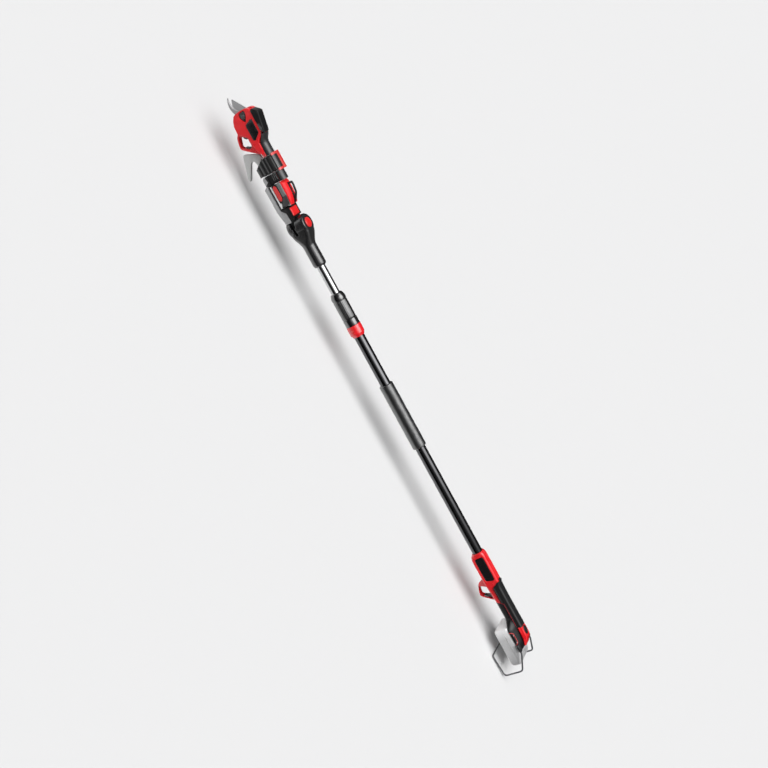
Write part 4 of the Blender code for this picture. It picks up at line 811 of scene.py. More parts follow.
# ================================================================ bracket
def make_bracket():
    refine("support_rail", "rail_alu", 0.9, 3)
    refine("rail_cover", "cover_black", 0.7, 3)

    # release button: a low, flat-topped cap in the cover's well
    rows = between([(-543.6, 18.4, 12.7), (-542.6, 18.9, 14.0), (-541.0, 19.0, 14.6), (-532, 19.0, 14.9), (-523, 19.0, 14.7), (-521.4, 18.9, 14.0), (-520.4, 18.4, 12.8)], 1.0)
    rings = []
    for x, w, top in rows:
        ring = []
        for a in range(0, 181, 9):
            c, k = math.cos(math.radians(a)), math.sin(math.radians(a))
            ring.append((x, w * (abs(c) ** 0.5) * (1 if c >= 0 else -1), 11.3 + (top - 11.3) * (k ** 0.45 if k > 0 else 0)))
        rings.append(ring)
    button = loft("release_button_skin", rings)
    combine(button, box("stem", -543.9, -520.1, -15.4, 15.4, 6.6, 11.6), "UNION")
    done(tidy(button, 2e-6, 0.3), "release_button", "release_red", smooth=50)

    # adapter block with a seat on each side for the red inlay, and a bright line above the rail
    adapter = loft("adapter_body_skin", [rounded(x, w, w, -14.1 + d, 11.4 - d, 2.5, 6) for x, w, d in ((-616, 22.4, 0.5), (-615.3, 23.0, 0), (-551.0, 23.0, 0), (-550.3, 22.4, 0.5))])
    combine(adapter, box("keel", -611.5, -550.3, -18.6, 18.6, -23.4, -13.0), "UNION")
    seat = smooth_outline([(-615, 3.4), (-610, -3.1), (-573, -3.1), (-567, 3.4), (-573, 9.9), (-610, 9.9)], 5)
    for side in (-1, 1):
        combine(adapter, slab("seat", seat, side * 22.0, side * 30.0))
    done(tidy(adapter), "adapter_body", "adapter_black")
    outline = even(smooth_outline([(-614.2, 3.4), (-609.5, -2.7), (-573.5, -2.7), (-567.9, 3.4), (-573.5, 9.3), (-609.5, 9.3)], 7, cut=0.36), 3.0)
    inlay = pillow("adapter_inlay_left_skin", outline, -22.3, -24.4, 1.0, 4, both=False)
    far = mirrored(inlay, "adapter_inlay_right_skin")
    done(inlay, "adapter_inlay_left", "inlay_red")
    done(far, "adapter_inlay_right", "inlay_red")

    # pale strip along the foot of the block, and a black plate over its rear end, on both sides
    for side, tag in ((-1, "left"), (1, "right")):
        strip = slab("adapter_strip_" + tag, [(-615.6, -8.2), (-615.6, -4.2), (-566, -3.6), (-563.0, 0.6), (-551.2, -4.6), (-550.8, -8.2)], side * 22.6, side * 23.6)
        bevel(strip, 0.3, 2)
        done(strip, "adapter_body", "foot_grey", mat="strip_grey", replace=False)
        plate_out = even(smooth_outline([(-579, 25), (-555, 22.5), (-551.5, 13), (-555, -2), (-573, 9.5), (-577, 13)], 5, cut=0.12), 2.0)
        done(pillow("foot_end_plate_" + tag, plate_out, side * 22.4, side * 24.2, 0.5, 3, both=False), "shears_foot", "loop_black", mat="plate_dark", replace=False, smooth=45)

    # saddle under the shear's handle
    refine("clamp_saddle", "saddle_black", 0.5, 2)
    # behind the band: low ribs along the saddle's rear block, and the pale rail end below them
    for side, tag in ((-1, "left"), (1, "right")):
        for i, z in enumerate((23.0, 17.6, 12.2)):
            rib = sweep("saddle_rib_%s_%d" % (tag, i + 1), [(-643.2, side * 18.9, z), (-634.0, side * 18.9, z), (-625.4, side * 18.9, z)], 1.45, 12)
            done(rib, "clamp_saddle", "band_black", replace=False, smooth=50)
        shoe = slab("rail_end_" + tag, [(-643.2, -8.2), (-628.6, -5.9), (-622.8, -16.1), (-640.0, -16.1), (-643.2, -12.8)], side * 22.7, side * 23.75)
        bevel(shoe, 0.3, 2)
        done(shoe, "support_rail", "rail_alu", replace=False)

    # clamp band: a strap with rounded ribs along it, round the handle and the saddle
    def band_ring(x, grow, ribs):
        base = [(0.0, -21.4, 0, -1)]
        base += [(-17.8 + 1.5 * math.cos(math.radians(t)), -19.9 + 1.5 * math.sin(math.radians(t)), math.cos(math.radians(t)), math.sin(math.radians(t))) for t in range(270, 179, -15)]
        z = -19.4
        while z < 28.2:
            base.append((-19.3, z, -1, 0))
            z += 0.55
        for t in range(0, 91, 2):
            c, k = -math.cos(math.radians(t)), math.sin(math.radians(t))
            base.append((-3.7 + 15.6 * c, 28.2 + 15.6 * k, c, k))
        base.append((0.0, 43.8, 0, 1))
        length, out, last = 0.0, [], base[0]
        for y, z, ny, nz in base:
            length += math.dist((y, z), last[:2])
            last = (y, z)
            h = 0.0
            for c, w in ((27.0, 4.4), (38.5, 4.4), (51.0, 2.4), (61.5, 2.4), (73.0, 2.6), (84.0, 2.6)) if ribs else ():
                d = abs(length - c) / w
                if d < 1:
                    h = max(h, 0.75 * math.sqrt(1 - d * d))
            out.append((x, y + ny * (h + grow), z + nz * (h + grow)))
        return out + [(px, -py, pz) for px, py, pz in reversed(out[1:-1])]

    band = loft("clamp_band_skin", [band_ring(x, grow, ribs) for x, grow, ribs in (
        (-689.0, -0.2, False), (-688.6, 0.3, False), (-686.8, 0.4, False), (-686.2, 0.0, True), (-649.8, 0.0, True), (-649.2, 0.4, False), (-647.4, 0.3, False), (-647.0, -0.2, False))])
    combine(band, loft("inside", [rounded(x, 17.6, 17.6, -15.8, 42.4, 15.8, 8) for x in (-700.0, -640.0)]))
    combine(band, slab("front_cut", [(-700, 7.0), (-689.0, 7.0), (-670.8, -21.4), (-670.8, -40), (-700, -40)], -30, 30))
    combine(band, box("hook_way", -700, -668, -4.3, 4.3, -30, 3.4))
    done(tidy(band, 2e-6, 0.2), "clamp_band", "band_black", smooth=40)
    for name, x in (("band_wire_front", -690.6), ("band_wire_rear", -645.4)):
        wire = loft(name + "_skin", [rounded(x + dx, 19.6 + g, 19.6 + g, -17.8 - g, 43.8 + g, 15.6, 12) for dx, g in ((-1.1, -0.5), (-0.8, -0.12), (-0.4, 0.0), (0.4, 0.0), (0.8, -0.12), (1.1, -0.5))])
        combine(wire, loft("inside", [rounded(x + dx, 17.7, 17.7, -15.9, 42.5, 15.4, 12) for dx in (-5, 5)]))
        if x < -680:
            combine(wire, box("below", -700, -668, -30, 30, -40, 7.4))
        done(wire, name, "wire_steel", smooth=45)

    # latch lever: a red bow over the band, open at its lower edge, with a ribbed black pad in it
    prof = [(-16.8, 38.8), (-18.3, 39.4), (-19.0, 40.8), (-17.6, 42.6), (-13.8, 45.1), (-9.5, 46.9), (-4.0, 47.6), (5.0, 47.6), (15.0, 47.6), (17.6, 45.6), (18.6, 41.0), (16.8, 41.6), (14.5, 44.6), (-4.0, 44.6), (-12.4, 42.5)]
    lever = loft("latch_lever_skin", [[(x, y, z) for y, z in prof] for x in (-693, -643)])
    combine(lever, loft("window", [[(x, y, z) for y, z in ((-20.5, 44.0), (-14.6, 46.4), (-9.8, 49.0), (0.5, 50.0), (0.5, 46.9), (-4.0, 46.2), (-9.6, 45.2), (-13.6, 43.4), (-15.6, 41.4), (-15.4, 36.0), (-20.5, 36.0))] for x in (-686.6, -649.4)]))
    bevel(lever, 0.6, 3)
    done(lever, "latch_lever", "latch_red")
    pad_rings = []
    for i in range(0, 65):
        x = -686.2 + 36.4 * i / 64
        g = 0.35 * (0.5 + 0.5 * math.cos(2 * math.pi * i / 8))
        pad_rings.append([(x, y, z - g) if top else (x, y, z) for y, z, top in ((-18.1, 38.9, 1), (-17.6, 40.8, 1), (-14.0, 43.8, 1), (-9.7, 45.7, 1), (-4.0, 46.9, 1), (0.1, 47.2, 1), (0.1, 46.2, 0), (-4.0, 45.7, 0), (-9.7, 44.8, 0), (-13.7, 43.1, 0), (-16.4, 40.7, 0), (-16.8, 39.1, 0))])
    pad = loft("latch_pad", pad_rings)
    done(pad, "latch_lever", "band_black", replace=False, smooth=30)

    # pull hook: flat steel with eased edges
    hook = [(-723, -41.5), (-719.5, -46.3), (-656.5, -67.8), (-651.5, -61.5), (-690, -36.5), (-695.5, -31), (-694.5, -23.5), (-687, -20.5), (-676, -19.5), (-672, -16.2), (-672, -10), (-691, 2.6), (-704.5, 2.6)]
    outline = even(smooth_outline(hook, 8, keep=(9, 10, 11)), 2.5)
    done(pillow("pull_hook_skin", outline, -4.0, 4.0, 1.0, 3), "pull_hook", "hook_grey", smooth=50)


# ================================================================ shear
def make_shear():
    body = [(-823, -2), (-826, 19), (-825.5, 37), (-820, 46), (-811, 49.7), (-747, 49.7), (-740, 36), (-731, 26.5), (-712, 26.5), (-697, 18), (-715, 8.5), (-728, 5.2), (-756, 5.2), (-765, -6), (-775, -19.5), (-786, -18.5), (-797, -18), (-812, -11.5)]
    shell = slab("shears_shell_left_skin", smooth_outline(body, 5, keep=(7, 8)), -20.0, -0.15)
    bevel(shell, 4.6, 5, 55)
    guard = [(-800, -15), (-786, -18.8), (-779, -24), (-766, -34.2), (-743, -39.6), (-735.2, -37.4), (-712.6, -8), (-696.2, 17), (-712, 24), (-760, 14), (-790, 4)]
    combine(shell, pillow("guard", smooth_outline(guard, 5), -0.15, -9.3, 2.6, 4, both=False), "UNION")
    ring = [(-0.15, 8.0)] + [(-17.0 * math.cos(math.radians(a)), 25.0 + 17.0 * math.sin(math.radians(a))) for a in range(-85, 1, 5)]
    ring += [(-13.6, 27.0)] + [(-13.6 * math.cos(math.radians(a)), 25.0 + 13.6 * math.sin(math.radians(a))) for a in range(15, 90, 6)] + [(-0.15, 38.6)]
    combine(shell, loft("handle", [[(x, y, z) for y, z in ring] for x in (-742, -617)]), "UNION")
    opening = [(-769, -23), (-757, -3.5), (-730, -3.5), (-726.5, -13), (-741.3, -36.6), (-761.6, -29.6)]
    combine(shell, slab("finger_hole", smooth_outline(opening, 6), -30, 30))
    combine(shell, slab("neck_way", [(-758, 49.4), (-751.5, 47.0), (-747.5, 43.8), (-740, 39.2), (-733, 32.7), (-726, 28.0), (-726, 60), (-758, 60)], -30, 1))
    combine(shell, slab("blade_slot", [(-835, -12), (-806, -12), (-785, -2), (-785, 44), (-835, 46)], -4.3, 5))
    combine(shell, slab("body_hollow", [(-784, 3), (-766, 3), (-759, 8.6), (-726, 8.6), (-718, 12.5), (-742, 20), (-742, 46.5), (-784, 46.5)], -16.8, 5))
    combine(shell, slab("switch_way", [(-758, 2.6), (-737, 2.6), (-737, 9.6), (-758, 9.6)], -6.4, 5))
    combine(shell, turned("handle_hollow", [(-745, 0), (-745, 10.4), (-621, 10.4), (-621, 0)], 32, centre=(0.0, 25.0)))
    combine(shell, slab("catch_way", [(-775, -6.8), (-763, 5), (-752, -6), (-765, -17)], -4.0, 5))
    combine(shell, slab("trigger_way", [(-736, -2.4), (-716, -2.4), (-716, 6), (-736, 6)], -6.4, 5))
    combine(shell, slab("trigger_slot", [(-734, -2), (-718, -2), (-727.5, -18), (-738, -34), (-742, -34)], -6.4, 5))
    combine(shell, turned("pinion_way", [(-791, 0), (-791, 7.4), (-780, 7.4), (-780, 0)], 32, centre=(0.0, BLADE_PIVOT[1])))
    recess = [(-823.6, 29.5), (-818, 32.6), (-806, 29.5), (-791.5, 20.5), (-800, 13), (-810, 9.5), (-819.6, 10.8)]
    combine(shell, slab("pivot_recess", smooth_outline(recess, 5), -30, -15.5))
    combine(shell, turned_on("bolt_way", [(-40, 0), (-40, 4.4), (5, 4.4), (5, 0)], (BLADE_PIVOT[0], 0, BLADE_PIVOT[1]), "Y", 32))
    panel_outline = [(-795.5, 38.4), (-793.5, 41.4), (-754.5, 41.4), (-739.8, 21.4), (-742, 14.9), (-787, 14.9)]
    combine(shell, slab("panel_seat", smooth_outline(panel_outline, 5, cut=0.12), -30, -18.8))
    # a moulded step line along the lower side, and three screw wells on the far side
    combine(shell, slab("side_line", [(-818, 3.2), (-818, 4.0), (-789, 8.4), (-760, 8.4), (-760, 7.6), (-788.8, 7.6)], -30, -19.4))
    soften(shell, 0.62, 5, 0.28)
    far = mirrored(shell, "shears_shell_right_skin")
    done(shell, "shears_shell_left", "shears_red", smooth=180)
    screws = ((-805.0, 44.5, 19.0), (-770.0, 12.0, 19.0), (-706.0, 14.0, 12.4))
    for x, z, y in screws:
        combine(far, turned_on("screw_way", [(y - 3.4, 0), (y - 3.4, 3.1), (40, 3.1), (40, 0)], (x, 0, z), "Y", 32))
    done(far, "shears_shell_right", "shears_red", smooth=50)
    for i, (x, z, y) in enumerate(screws):
        prof = arc_profile([(-1.6, 0), (-1.6, 2.7), (0.0, 2.7), (0.6, 2.1), (0.6, 1.25), (-0.7, 1.25), (-0.7, 0)], 0.18, 2)
        done(turned_on("shears_screw_%d" % (i + 1), prof, (x, y - 2.8, z), "Y", 24), "shears_shell_right", "bolt_steel", replace=False)

    centre = (sum(p[0] for p in panel_outline) / 6, sum(p[1] for p in panel_outline) / 6)
    small = [(centre[0] + (x - centre[0]) * 0.972, centre[1] + (z - centre[1]) * 0.95) for x, z in panel_outline]
    panel = pillow("shears_panel_left_skin", even(smooth_outline(small, 6, cut=0.14), 3.0), -19.05, -20.6, 0.7, 4, both=False)
    far = mirrored(panel, "shears_panel_right_skin")
    done(panel, "shears_panel_left", "panel_black")
    done(far, "shears_panel_right", "panel_black")

    # dark trim plate in the pivot recess, on both sides
    trim_out = even(smooth_outline([(-822.2, 28.8), (-817.8, 31.2), (-806.4, 28.2), (-793.6, 20.5), (-800.6, 14.2), (-810, 10.9), (-818.6, 12.0)], 6), 2.0)
    for side, tag in ((-1, "left"), (1, "right")):
        trim = pillow("pivot_trim_" + tag, trim_out, side * 15.7, side * 17.6, 0.8, 3, both=False)
        combine(trim, turned_on("way", [(-40, 0), (-40, 6.7), (40, 6.7), (40, 0)], (BLADE_PIVOT[0], 0, BLADE_PIVOT[1]), "Y", 48))
        done(trim, "shears_shell_" + tag, "panel_black", replace=False)

    # top cover: sloped nose, crowned roof, and a skirt that drops over the shell's shoulders towards the grip
    rows = between([(-816.4, 17.0, 13.0, 49.0, 51.5, 1.0), (-814.5, 19.4, 13.8, 49.0, 53.5, 1.6), (-812, 20.9, 14.4, 49.0, 56.2, 2.2), (-808, 21.5, 15.0, 49.0, 60.4, 2.8), (-804, 21.6, 15.3, 49.0, 64.0, 3.2), (-800, 21.6, 15.4, 49.0, 64.8, 3.4),
                    (-785, 21.6, 15.4, 48.9, 61.7, 3.8), (-770, 21.6, 15.2, 48.7, 58.5, 3.8), (-757, 21.5, 15.0, 48.4, 55.9, 3.4), (-751.5, 20.8, 14.7, 46.4, 54.4, 3.0), (-747.3, 20.0, 14.4, 43.5, 52.8, 2.6)], 2.0)
    cover = loft("shears_cover_skin", [hat(*row) for row in rows])
    combine(cover, loft("shoulder", [[(x, -w, 20), (x, w, 20), (x, w, z), (x, -w, z)] for x, w, z in ((-830, 20.15, 50.0), (-757, 20.15, 50.0), (-748.5, 19.0, 50.0), (-740, 17.0, 50.0))]))
    done(tidy(cover, 2e-6, 0.25), "shears_cover", "shears_cover_black", smooth=50)

    # rubber grip: a thick arch on the red handle, running up to the cover
    rows = between([(-746.6, 20.9, 43.4, 52.6, 18.4, 46.0), (-740.0, 20.2, 39.4, 48.6, 17.4, 42.4), (-733.0, 18.6, 32.9, 44.6, 15.6, 39.8), (-726.0, 17.2, 28.4, 42.4, 14.2, 39.2), (-721.0, 16.9, 27.4, 42.0, 13.9, 39.0), (-700.0, 16.9, 27.4, 42.0, 13.9, 39.0), (-640.0, 16.9, 27.4, 42.0, 13.9, 39.0), (-617.0, 16.9, 27.4, 42.0, 13.9, 39.0)], 3.0)
    rings = []
    for x, wo, low, top, wi, inner in rows:
        ring = [(x, -wo * math.cos(math.radians(a)), low + (top - low) * math.sin(math.radians(a))) for a in range(0, 181, 6)]
        ring += [(x, wi * math.cos(math.radians(a)), low + 0.02 + (inner - low) * math.sin(math.radians(a))) for a in range(0, 181, 6)]
        rings.append(ring)
    done(loft("shears_grip_skin", rings), "shears_grip", "grip_rubber", smooth=50)

    # blades with ground faces
    counter = [(-871, -1.0), (-866, -6.0), (-858, -9.2), (-848, -11.0), (-838, -10.8), (-826, -6.5), (-808, 2), (-791.5, 8), (-790.5, 30), (-806, 33), (-818, 30), (-824, 22), (-826, 15), (-830, 7.4), (-840, -0.2), (-850, -2.6), (-862, -3.4)]
    outline = even(smooth_outline(counter, 5, keep=(0,)), 1.6)

    def grind(points, low_x, high_x, upper, depth):
        out = []
        for x, z in points:
            k = 0.0
            if low_x < x < high_x and upper(x, z):
                k = min(1.0, (x - low_x) / 4.0, (high_x - x) / 4.0)
            out.append(0.12 + depth * k)
        return out

    g = grind(outline, -872, -826, lambda x, z: z > (-4.2 if x < -845 else -3.5), 2.2)
    rings = [(outline, -0.25), (outline, -0.6), (inset(outline, [0.3 * k for k in g]), -1.2), (inset(outline, g), -3.5), (inset(outline, [k + 0.2 for k in g]), -3.7)]
    blade = loft("counter_blade_skin", [[(x, y, z) for x, z in o] for o, y in rings])
    combine(blade, turned_on("bolt_way", [(-40, 0), (-40, 4.15), (40, 4.15), (40, 0)], (BLADE_PIVOT[0], 0, BLADE_PIVOT[1]), "Y", 48))
    done(blade, "counter_blade", "blade_steel", mat="blade_satin", smooth=32)
    cutter = [(-863, 5.0), (-857, 1.4), (-847, -2.0), (-836, -3.2), (-824, 0.5), (-816, 6)]
    cutter += [(BLADE_PIVOT[0] + 18.3 * math.cos(math.radians(a)), BLADE_PIVOT[1] + 18.3 * math.sin(math.radians(a))) for a in range(-70, 51, 15)]
    cutter += [(-812, 31.5), (-824, 31), (-830, 28.5), (-832.5, 26.5)]
    outline = even(smooth_outline(cutter, 5, keep=(0,)), 1.6)
    g = [0.12 + (3.2 * min(1.0, (x + 864) / 4.0, (-820 - x) / 6.0) if -864 < x < -820 and z < 5.5 + max(0.0, -(x + 858)) * 0.6 and z < 5.2 else 0.0) for x, z in outline]
    rings = [(outline, 0.25), (inset(outline, [0.05 for k in g]), 0.5), (inset(outline, g), 3.0), (inset(outline, [k + 0.2 for k in g]), 3.7)]
    blade = loft("cutting_blade_skin", [[(x, y, z) for x, z in o] for o, y in rings])
    combine(blade, turned_on("bolt_way", [(-40, 0), (-40, 4.08), (40, 4.08), (40, 0)], (BLADE_PIVOT[0], 0, BLADE_PIVOT[1]), "Y", 48))
    done(blade, "cutting_blade", "blade_steel", smooth=32)
    bolt = turned_on("blade_bolt_skin", arc_profile([(-18.8, 0), (-18.8, 5.6), (-18.0, 6.4), (-15.8, 6.4), (-15.8, 4.0), (17.4, 4.0), (18.0, 3.4), (18.0, 0)], 0.3, 2), (BLADE_PIVOT[0], 0, BLADE_PIVOT[1]), "Y", 48)
    hexa = [(BLADE_PIVOT[0] + 2.9 * math.cos(math.radians(60 * i)), BLADE_PIVOT[1] + 2.9 * math.sin(math.radians(60 * i))) for i in range(6)]
    combine(bolt, slab("hex", hexa, -30, -16.8))
    done(bolt, "blade_bolt", "bolt_steel")

    # trigger with finger dishing, and the safety catch
    trig = [(-730.6, 4.4), (-724.5, 4.4), (-724.5, -2.8), (-727.3, -10), (-730.4, -17), (-735.2, -23), (-738.6, -24.5), (-733.2, -14.5), (-731.4, -6), (-733, 0)]
    done(pillow("shears_trigger_skin", even(smooth_outline(trig, 5, cut=0.2), 1.5), -5.8, 5.8, 0.9, 3), "shears_trigger", "trigger_black", smooth=50)
    done(pillow("safety_catch_skin", even(smooth_outline([(-771, -11), (-761, -2.6), (-752.5, -9.2), (-760.8, -18.8)], 6), 1.5), -3.6, 3.6, 0.7, 3), "safety_catch", "trigger_black", smooth=50)

    # foot block, its red cap and the hanger loop
    foot = loft("shears_foot_skin", [rounded(x, w, w, 11.9 + d, 24.3 - d, 2.5, 6) for x, w, d in ((-615.4, 21.4, 0.8), (-614.8, 22.2, 0.2), (-612.5, 23.2, 0), (-552.5, 23.2, 0), (-550.9, 22.4, 0.2), (-550.3, 21.6, 0.8))])
    for k in range(6):
        x = -606.0 + k * 8.0
        for side in (-1, 1):
            combine(foot, box("rib", x, x + 1.2, side * 22.7 if side > 0 else -30, 30 if side > 0 else -22.7, 14.0, 22.2))
    combine(foot, slab("rear_slope", [(-577, 24.3), (-540, 19.8), (-540, 40), (-577, 40)], -30, 30))
    done(tidy(foot), "shears_foot", "foot_grey")
    rows = between([(-617.2, 21.4, 26.0, 29.6, 14.0, 33.0, 10.6, 34.2), (-600, 21.4, 26.0, 29.5, 14.0, 32.8, 10.6, 34.0), (-585, 21.4, 26.0, 29.2, 14.0, 32.6, 10.6, 33.8), (-575, 21.3, 25.8, 28.4, 14.2, 31.6, 10.6, 32.8), (-562, 20.8, 24.6, 27.1, 15.6, 28.8, 10.2, 29.6), (-549.0, 19.6, 22.2, 23.2, 15.0, 24.0, 10.0, 24.6)], 2.5)
    rings = []
    for x, w, z1, z2, y3, z3, y4, zt in rows:
        half = [(-w, 18.0), (-w, z1), (-w + 1.8, z2), (-y3, z3), (-y4, zt)]
        rings.append([(x, y, z) for y, z in smooth_outline(half + [(-y, z) for y, z in reversed(half)], 4, keep=(0, 9), cut=0.3)])
    cap = loft("shears_foot_cap_skin", rings)
    combine(cap, slab("below", [(-640, 0), (-640, 24.7), (-577, 24.7), (-540, 20.2), (-540, 0)], -30, 30))
    combine(cap, slab("front_slope", [(-640, 24), (-617.2, 24), (-607.2, 34.6), (-607.2, 60), (-640, 60)], -30, 30))
    combine(cap, slab("loop_seat", [(-606, 29.0), (-562, 29.0), (-549.9, 22.0), (-549.9, 10.0), (-540, 10.0), (-540, 60), (-606, 60)], -3.3, 3.3))
    done(tidy(cap, 2e-6, 0.2), "shears_foot_cap", "foot_red", smooth=35)
    loop = pillow("hanger_loop_skin", even(smooth_outline([(-605.5, 29.4), (-605, 47.0), (-600, 48.8), (-573, 45.4), (-553.4, 32.0), (-547.2, 24.0), (-547.0, 17.0), (-549.4, 17.0), (-549.5, 22.6), (-561.8, 29.4)], 7, keep=(0, 6, 7, 8, 9)), 1.5), -3.0, 3.0, 0.8, 3)
    combine(loop, slab("loop_hole", smooth_outline([(-600.5, 35.0), (-600, 45.4), (-575, 42.2), (-566, 36.2), (-569, 35.0)], 7), -10, 10))
    done(tidy(loop, 2e-6, 0.2), "hanger_loop", "loop_black", smooth=50)


# ================================================================ rear handle
def side_y(z):
    return 20.0 + (14.8 - 20.0) * (z + 22.0) / 42.0


def make_rear():
    sec = [(552, 16.9, 16.9, -16.9, 16.9, 16.0), (553.5, 17.8, 17.0, -17.9, 17.9, 15.0), (556, 18.6, 16.8, -19.2, 18.8, 12.5), (560, 19.3, 16.2, -20.6, 19.6, 9.5), (566, 19.8, 15.2, -21.7, 19.95, 7.4), (573, 20.0, 14.8, -22.0, 20.0, 6.4), (640, 20.0, 14.8, -22.0, 20.0, 6.4), (665, 19.9, 14.85, -20.6, 19.2, 7.0), (716, 19.5, 15.0, -17.5, 17.0, 8.0)]
    shell = loft("handle_shell_left_skin", [rounded(x, w0, w1, z0, z1, r, 8) for x, w0, w1, z0, z1, r in between(sec, 3.0)])
    combine(shell, slab("tail_cut", [(703.5, -30), (706.0, -19.5), (718.0, -2.7), (735, -2.7), (735, -30)], -40, 40))
    guard = [(627, -18), (633, -26), (643, -44.5), (662, -52.8), (678, -57.4), (684.5, -53.4), (709, -17), (700, -5), (640, -5)]
    combine(shell, pillow("guard", smooth_outline(guard, 5), -9.3, 9.3, 2.4, 4), "UNION")
    hole = [(650, -44), (661, -21.5), (696, -21.5), (699, -25), (680, -53), (674, -53.6), (655, -48.6)]
    combine(shell, slab("finger_hole", smooth_outline(hole, 5), -30, 30))
    combine(shell, loft("hollow", [rounded(x, w0, w1, z0, z1, 5, 3) for x, w0, w1, z0, z1 in ((604, 16.8, 12.0, -18.8, 17.0), (642, 16.8, 12.0, -18.8, 17.0), (730, 16.5, 12.0, -14.6, 14.0))]))
    combine(shell, turned("socket", [(540, 0), (540, OUTER_R + 0.3), (606, OUTER_R + 0.3), (606, 0)], 64))
    combine(shell, slab("grip_way", [(640, 30), (655.5, 30), (654.5, 15), (667.0, -4.7), (730, -4.7), (730, 30)], -40, 40))
    combine(shell, slab("trigger_way", [(676, -10), (701, -10), (701, -19), (698.6, -29), (692.3, -40), (686.6, -48.6), (676, -48.6)], -6.4, 6.4))
    combine(shell, box("right_half", 500, 760, -0.15, 60, -100, 60))
    hp = [(566, 12.6), (570, 15.2), (640, 15.2), (645, 11), (640, -9.5), (635, -12), (570, -12), (566, -8)]
    combine(shell, loft("panel_seat", [[(x, -30.0, z) for x, z in smooth_outline(hp, 5)], [(x, 1.2 - side_y(z), z) for x, z in smooth_outline(hp, 5)]]))
    soften(shell, 0.62, 5, 0.28)
    far = mirrored(shell, "handle_shell_right_skin")
    done(shell, "handle_shell_left", "handle_red", smooth=180)
    screws = ((561.0, -14.0, 18.0), (655.0, -15.5, 18.6), (706.0, -10.5, 18.0))
    for x, z, y in screws:
        combine(far, turned_on("screw_way", [(y - 2.6, 0), (y - 2.6, 3.1), (40, 3.1), (40, 0)], (x, 0, z), "Y", 32))
    done(far, "handle_shell_right", "handle_red", smooth=50)
    for i, (x, z, y) in enumerate(screws):
        prof = arc_profile([(-1.4, 0), (-1.4, 2.7), (0.0, 2.7), (0.6, 2.1), (0.6, 1.25), (-0.6, 1.25), (-0.6, 0)], 0.18, 2)
        done(turned_on("handle_screw_%d" % (i + 1), prof, (x, y - 2.0, z), "Y", 24), "handle_shell_right", "bolt_steel", replace=False)

    hc = (sum(p[0] for p in hp) / len(hp), sum(p[1] for p in hp) / len(hp))
    hps = even(smooth_outline([(hc[0] + (x - hc[0]) * 0.985, hc[1] + (z - hc[1]) * 0.965) for x, z in hp], 5), 3.0)
    rings = []
    for d, y in ((0.0, 0.9), (0.0, -0.1), (0.12, -0.26), (0.35, -0.36), (0.7, -0.4)):
        rings.append([(x, y - side_y(z), z) for x, z in inset(hps, d)])
    panel = loft("handle_panel_left_skin", rings)
    far = mirrored(panel, "handle_panel_right_skin")
    done(panel, "handle_panel_left", "handle_panel_black")
    done(far, "handle_panel_right", "handle_panel_black")

    # rubber grip: an arch over the handle with a raised front lip
    st = [(650.6, 20.2, 15.4, -4.4, 20.2, 8), (653.0, 20.5, 16.2, -4.4, 21.4, 8), (656.0, 20.5, 16.4, -4.4, 21.6, 8), (661, 20.5, 16.4, -4.4, 19.8, 8), (668, 20.4, 16.4, -4.4, 18.2, 8), (700, 20.0, 16.4, -4.4, 17.4, 8), (770, 20.0, 16.4, -4.4, 17.4, 8), (795, 20.2, 16.6, -4.4, 17.6, 8), (810, 20.2, 16.6, -4.4, 17.6, 8)]
    grip = loft("handle_grip_skin", [rounded(x, w0, w1, z0, z1, r, 9) for x, w0, w1, z0, z1, r in between(st, 3.0)])
    combine(grip, loft("core", [rounded(x, 16.8, 12.8, -30, 14.2, 6, 5) for x in (630, 820)]))
    combine(grip, slab("rear_cut", [(801.0, -10), (801.0, 0.6), (807.6, 18.5), (807.8, 30), (830, 30), (830, -10)], -40, 40))
    front = [(600, 60), (650.0, 60), (653.6, 21.3), (656.6, 17.5), (655.0, 15.4), (667.9, -4.3), (667.9, -40), (600, -40)]
    combine(grip, slab("front_cut", front, -40, 40))
    combine(grip, slab("lock_way", [(640, 20.0), (657.0, 20.0), (657.0, 40), (640, 40)], -6.5, 6.5))
    combine(grip, slab("rear_step", [(714.5, -10), (721.5, 5.2), (812, 5.2), (812, -10)], -40, 40))
    done(tidy(grip, 2e-6, 0.2), "handle_grip", "handle_rubber", smooth=45)

    # thin red seam line between the grip and the lower shell
    for side, tag in ((-1, "left"), (1, "right")):
        seam = sweep("grip_seam_" + tag, [(667.5, side * 19.75, -5.0), (690, side * 19.75, -5.0), (714.0, side * 19.75, -5.0), (717.6, side * 19.9, 0.0), (721.2, side * 19.8, 4.9), (760, side * 19.7, 5.05), (799.0, side * 19.8, 5.05)], 0.55, 8)
        done(seam, "handle_body", "handle_red", mat="pin_red", replace=False)

    low = loft("handle_body_skin", [rounded(x, 19.6, 19.0, -16.8, 4.8, 6, 8) for x in (703.0, 768)])
    combine(low, box("hollow", 719.5, 800, -16.2, 16.2, -13.6, 30))
    combine(low, slab("front_slope", [(690, -30), (704.2, -30), (706.7, -19.5), (717.3, -4.5), (721.6, 4.9), (721.6, 30), (690, 30)], -40, 40))
    combine(low, loft("core", [rounded(x, 16.3, 16.3, -13.6, 40, 2, 3) for x in (719.5, 800)]))
    done(tidy(low), "handle_body", "handle_black")

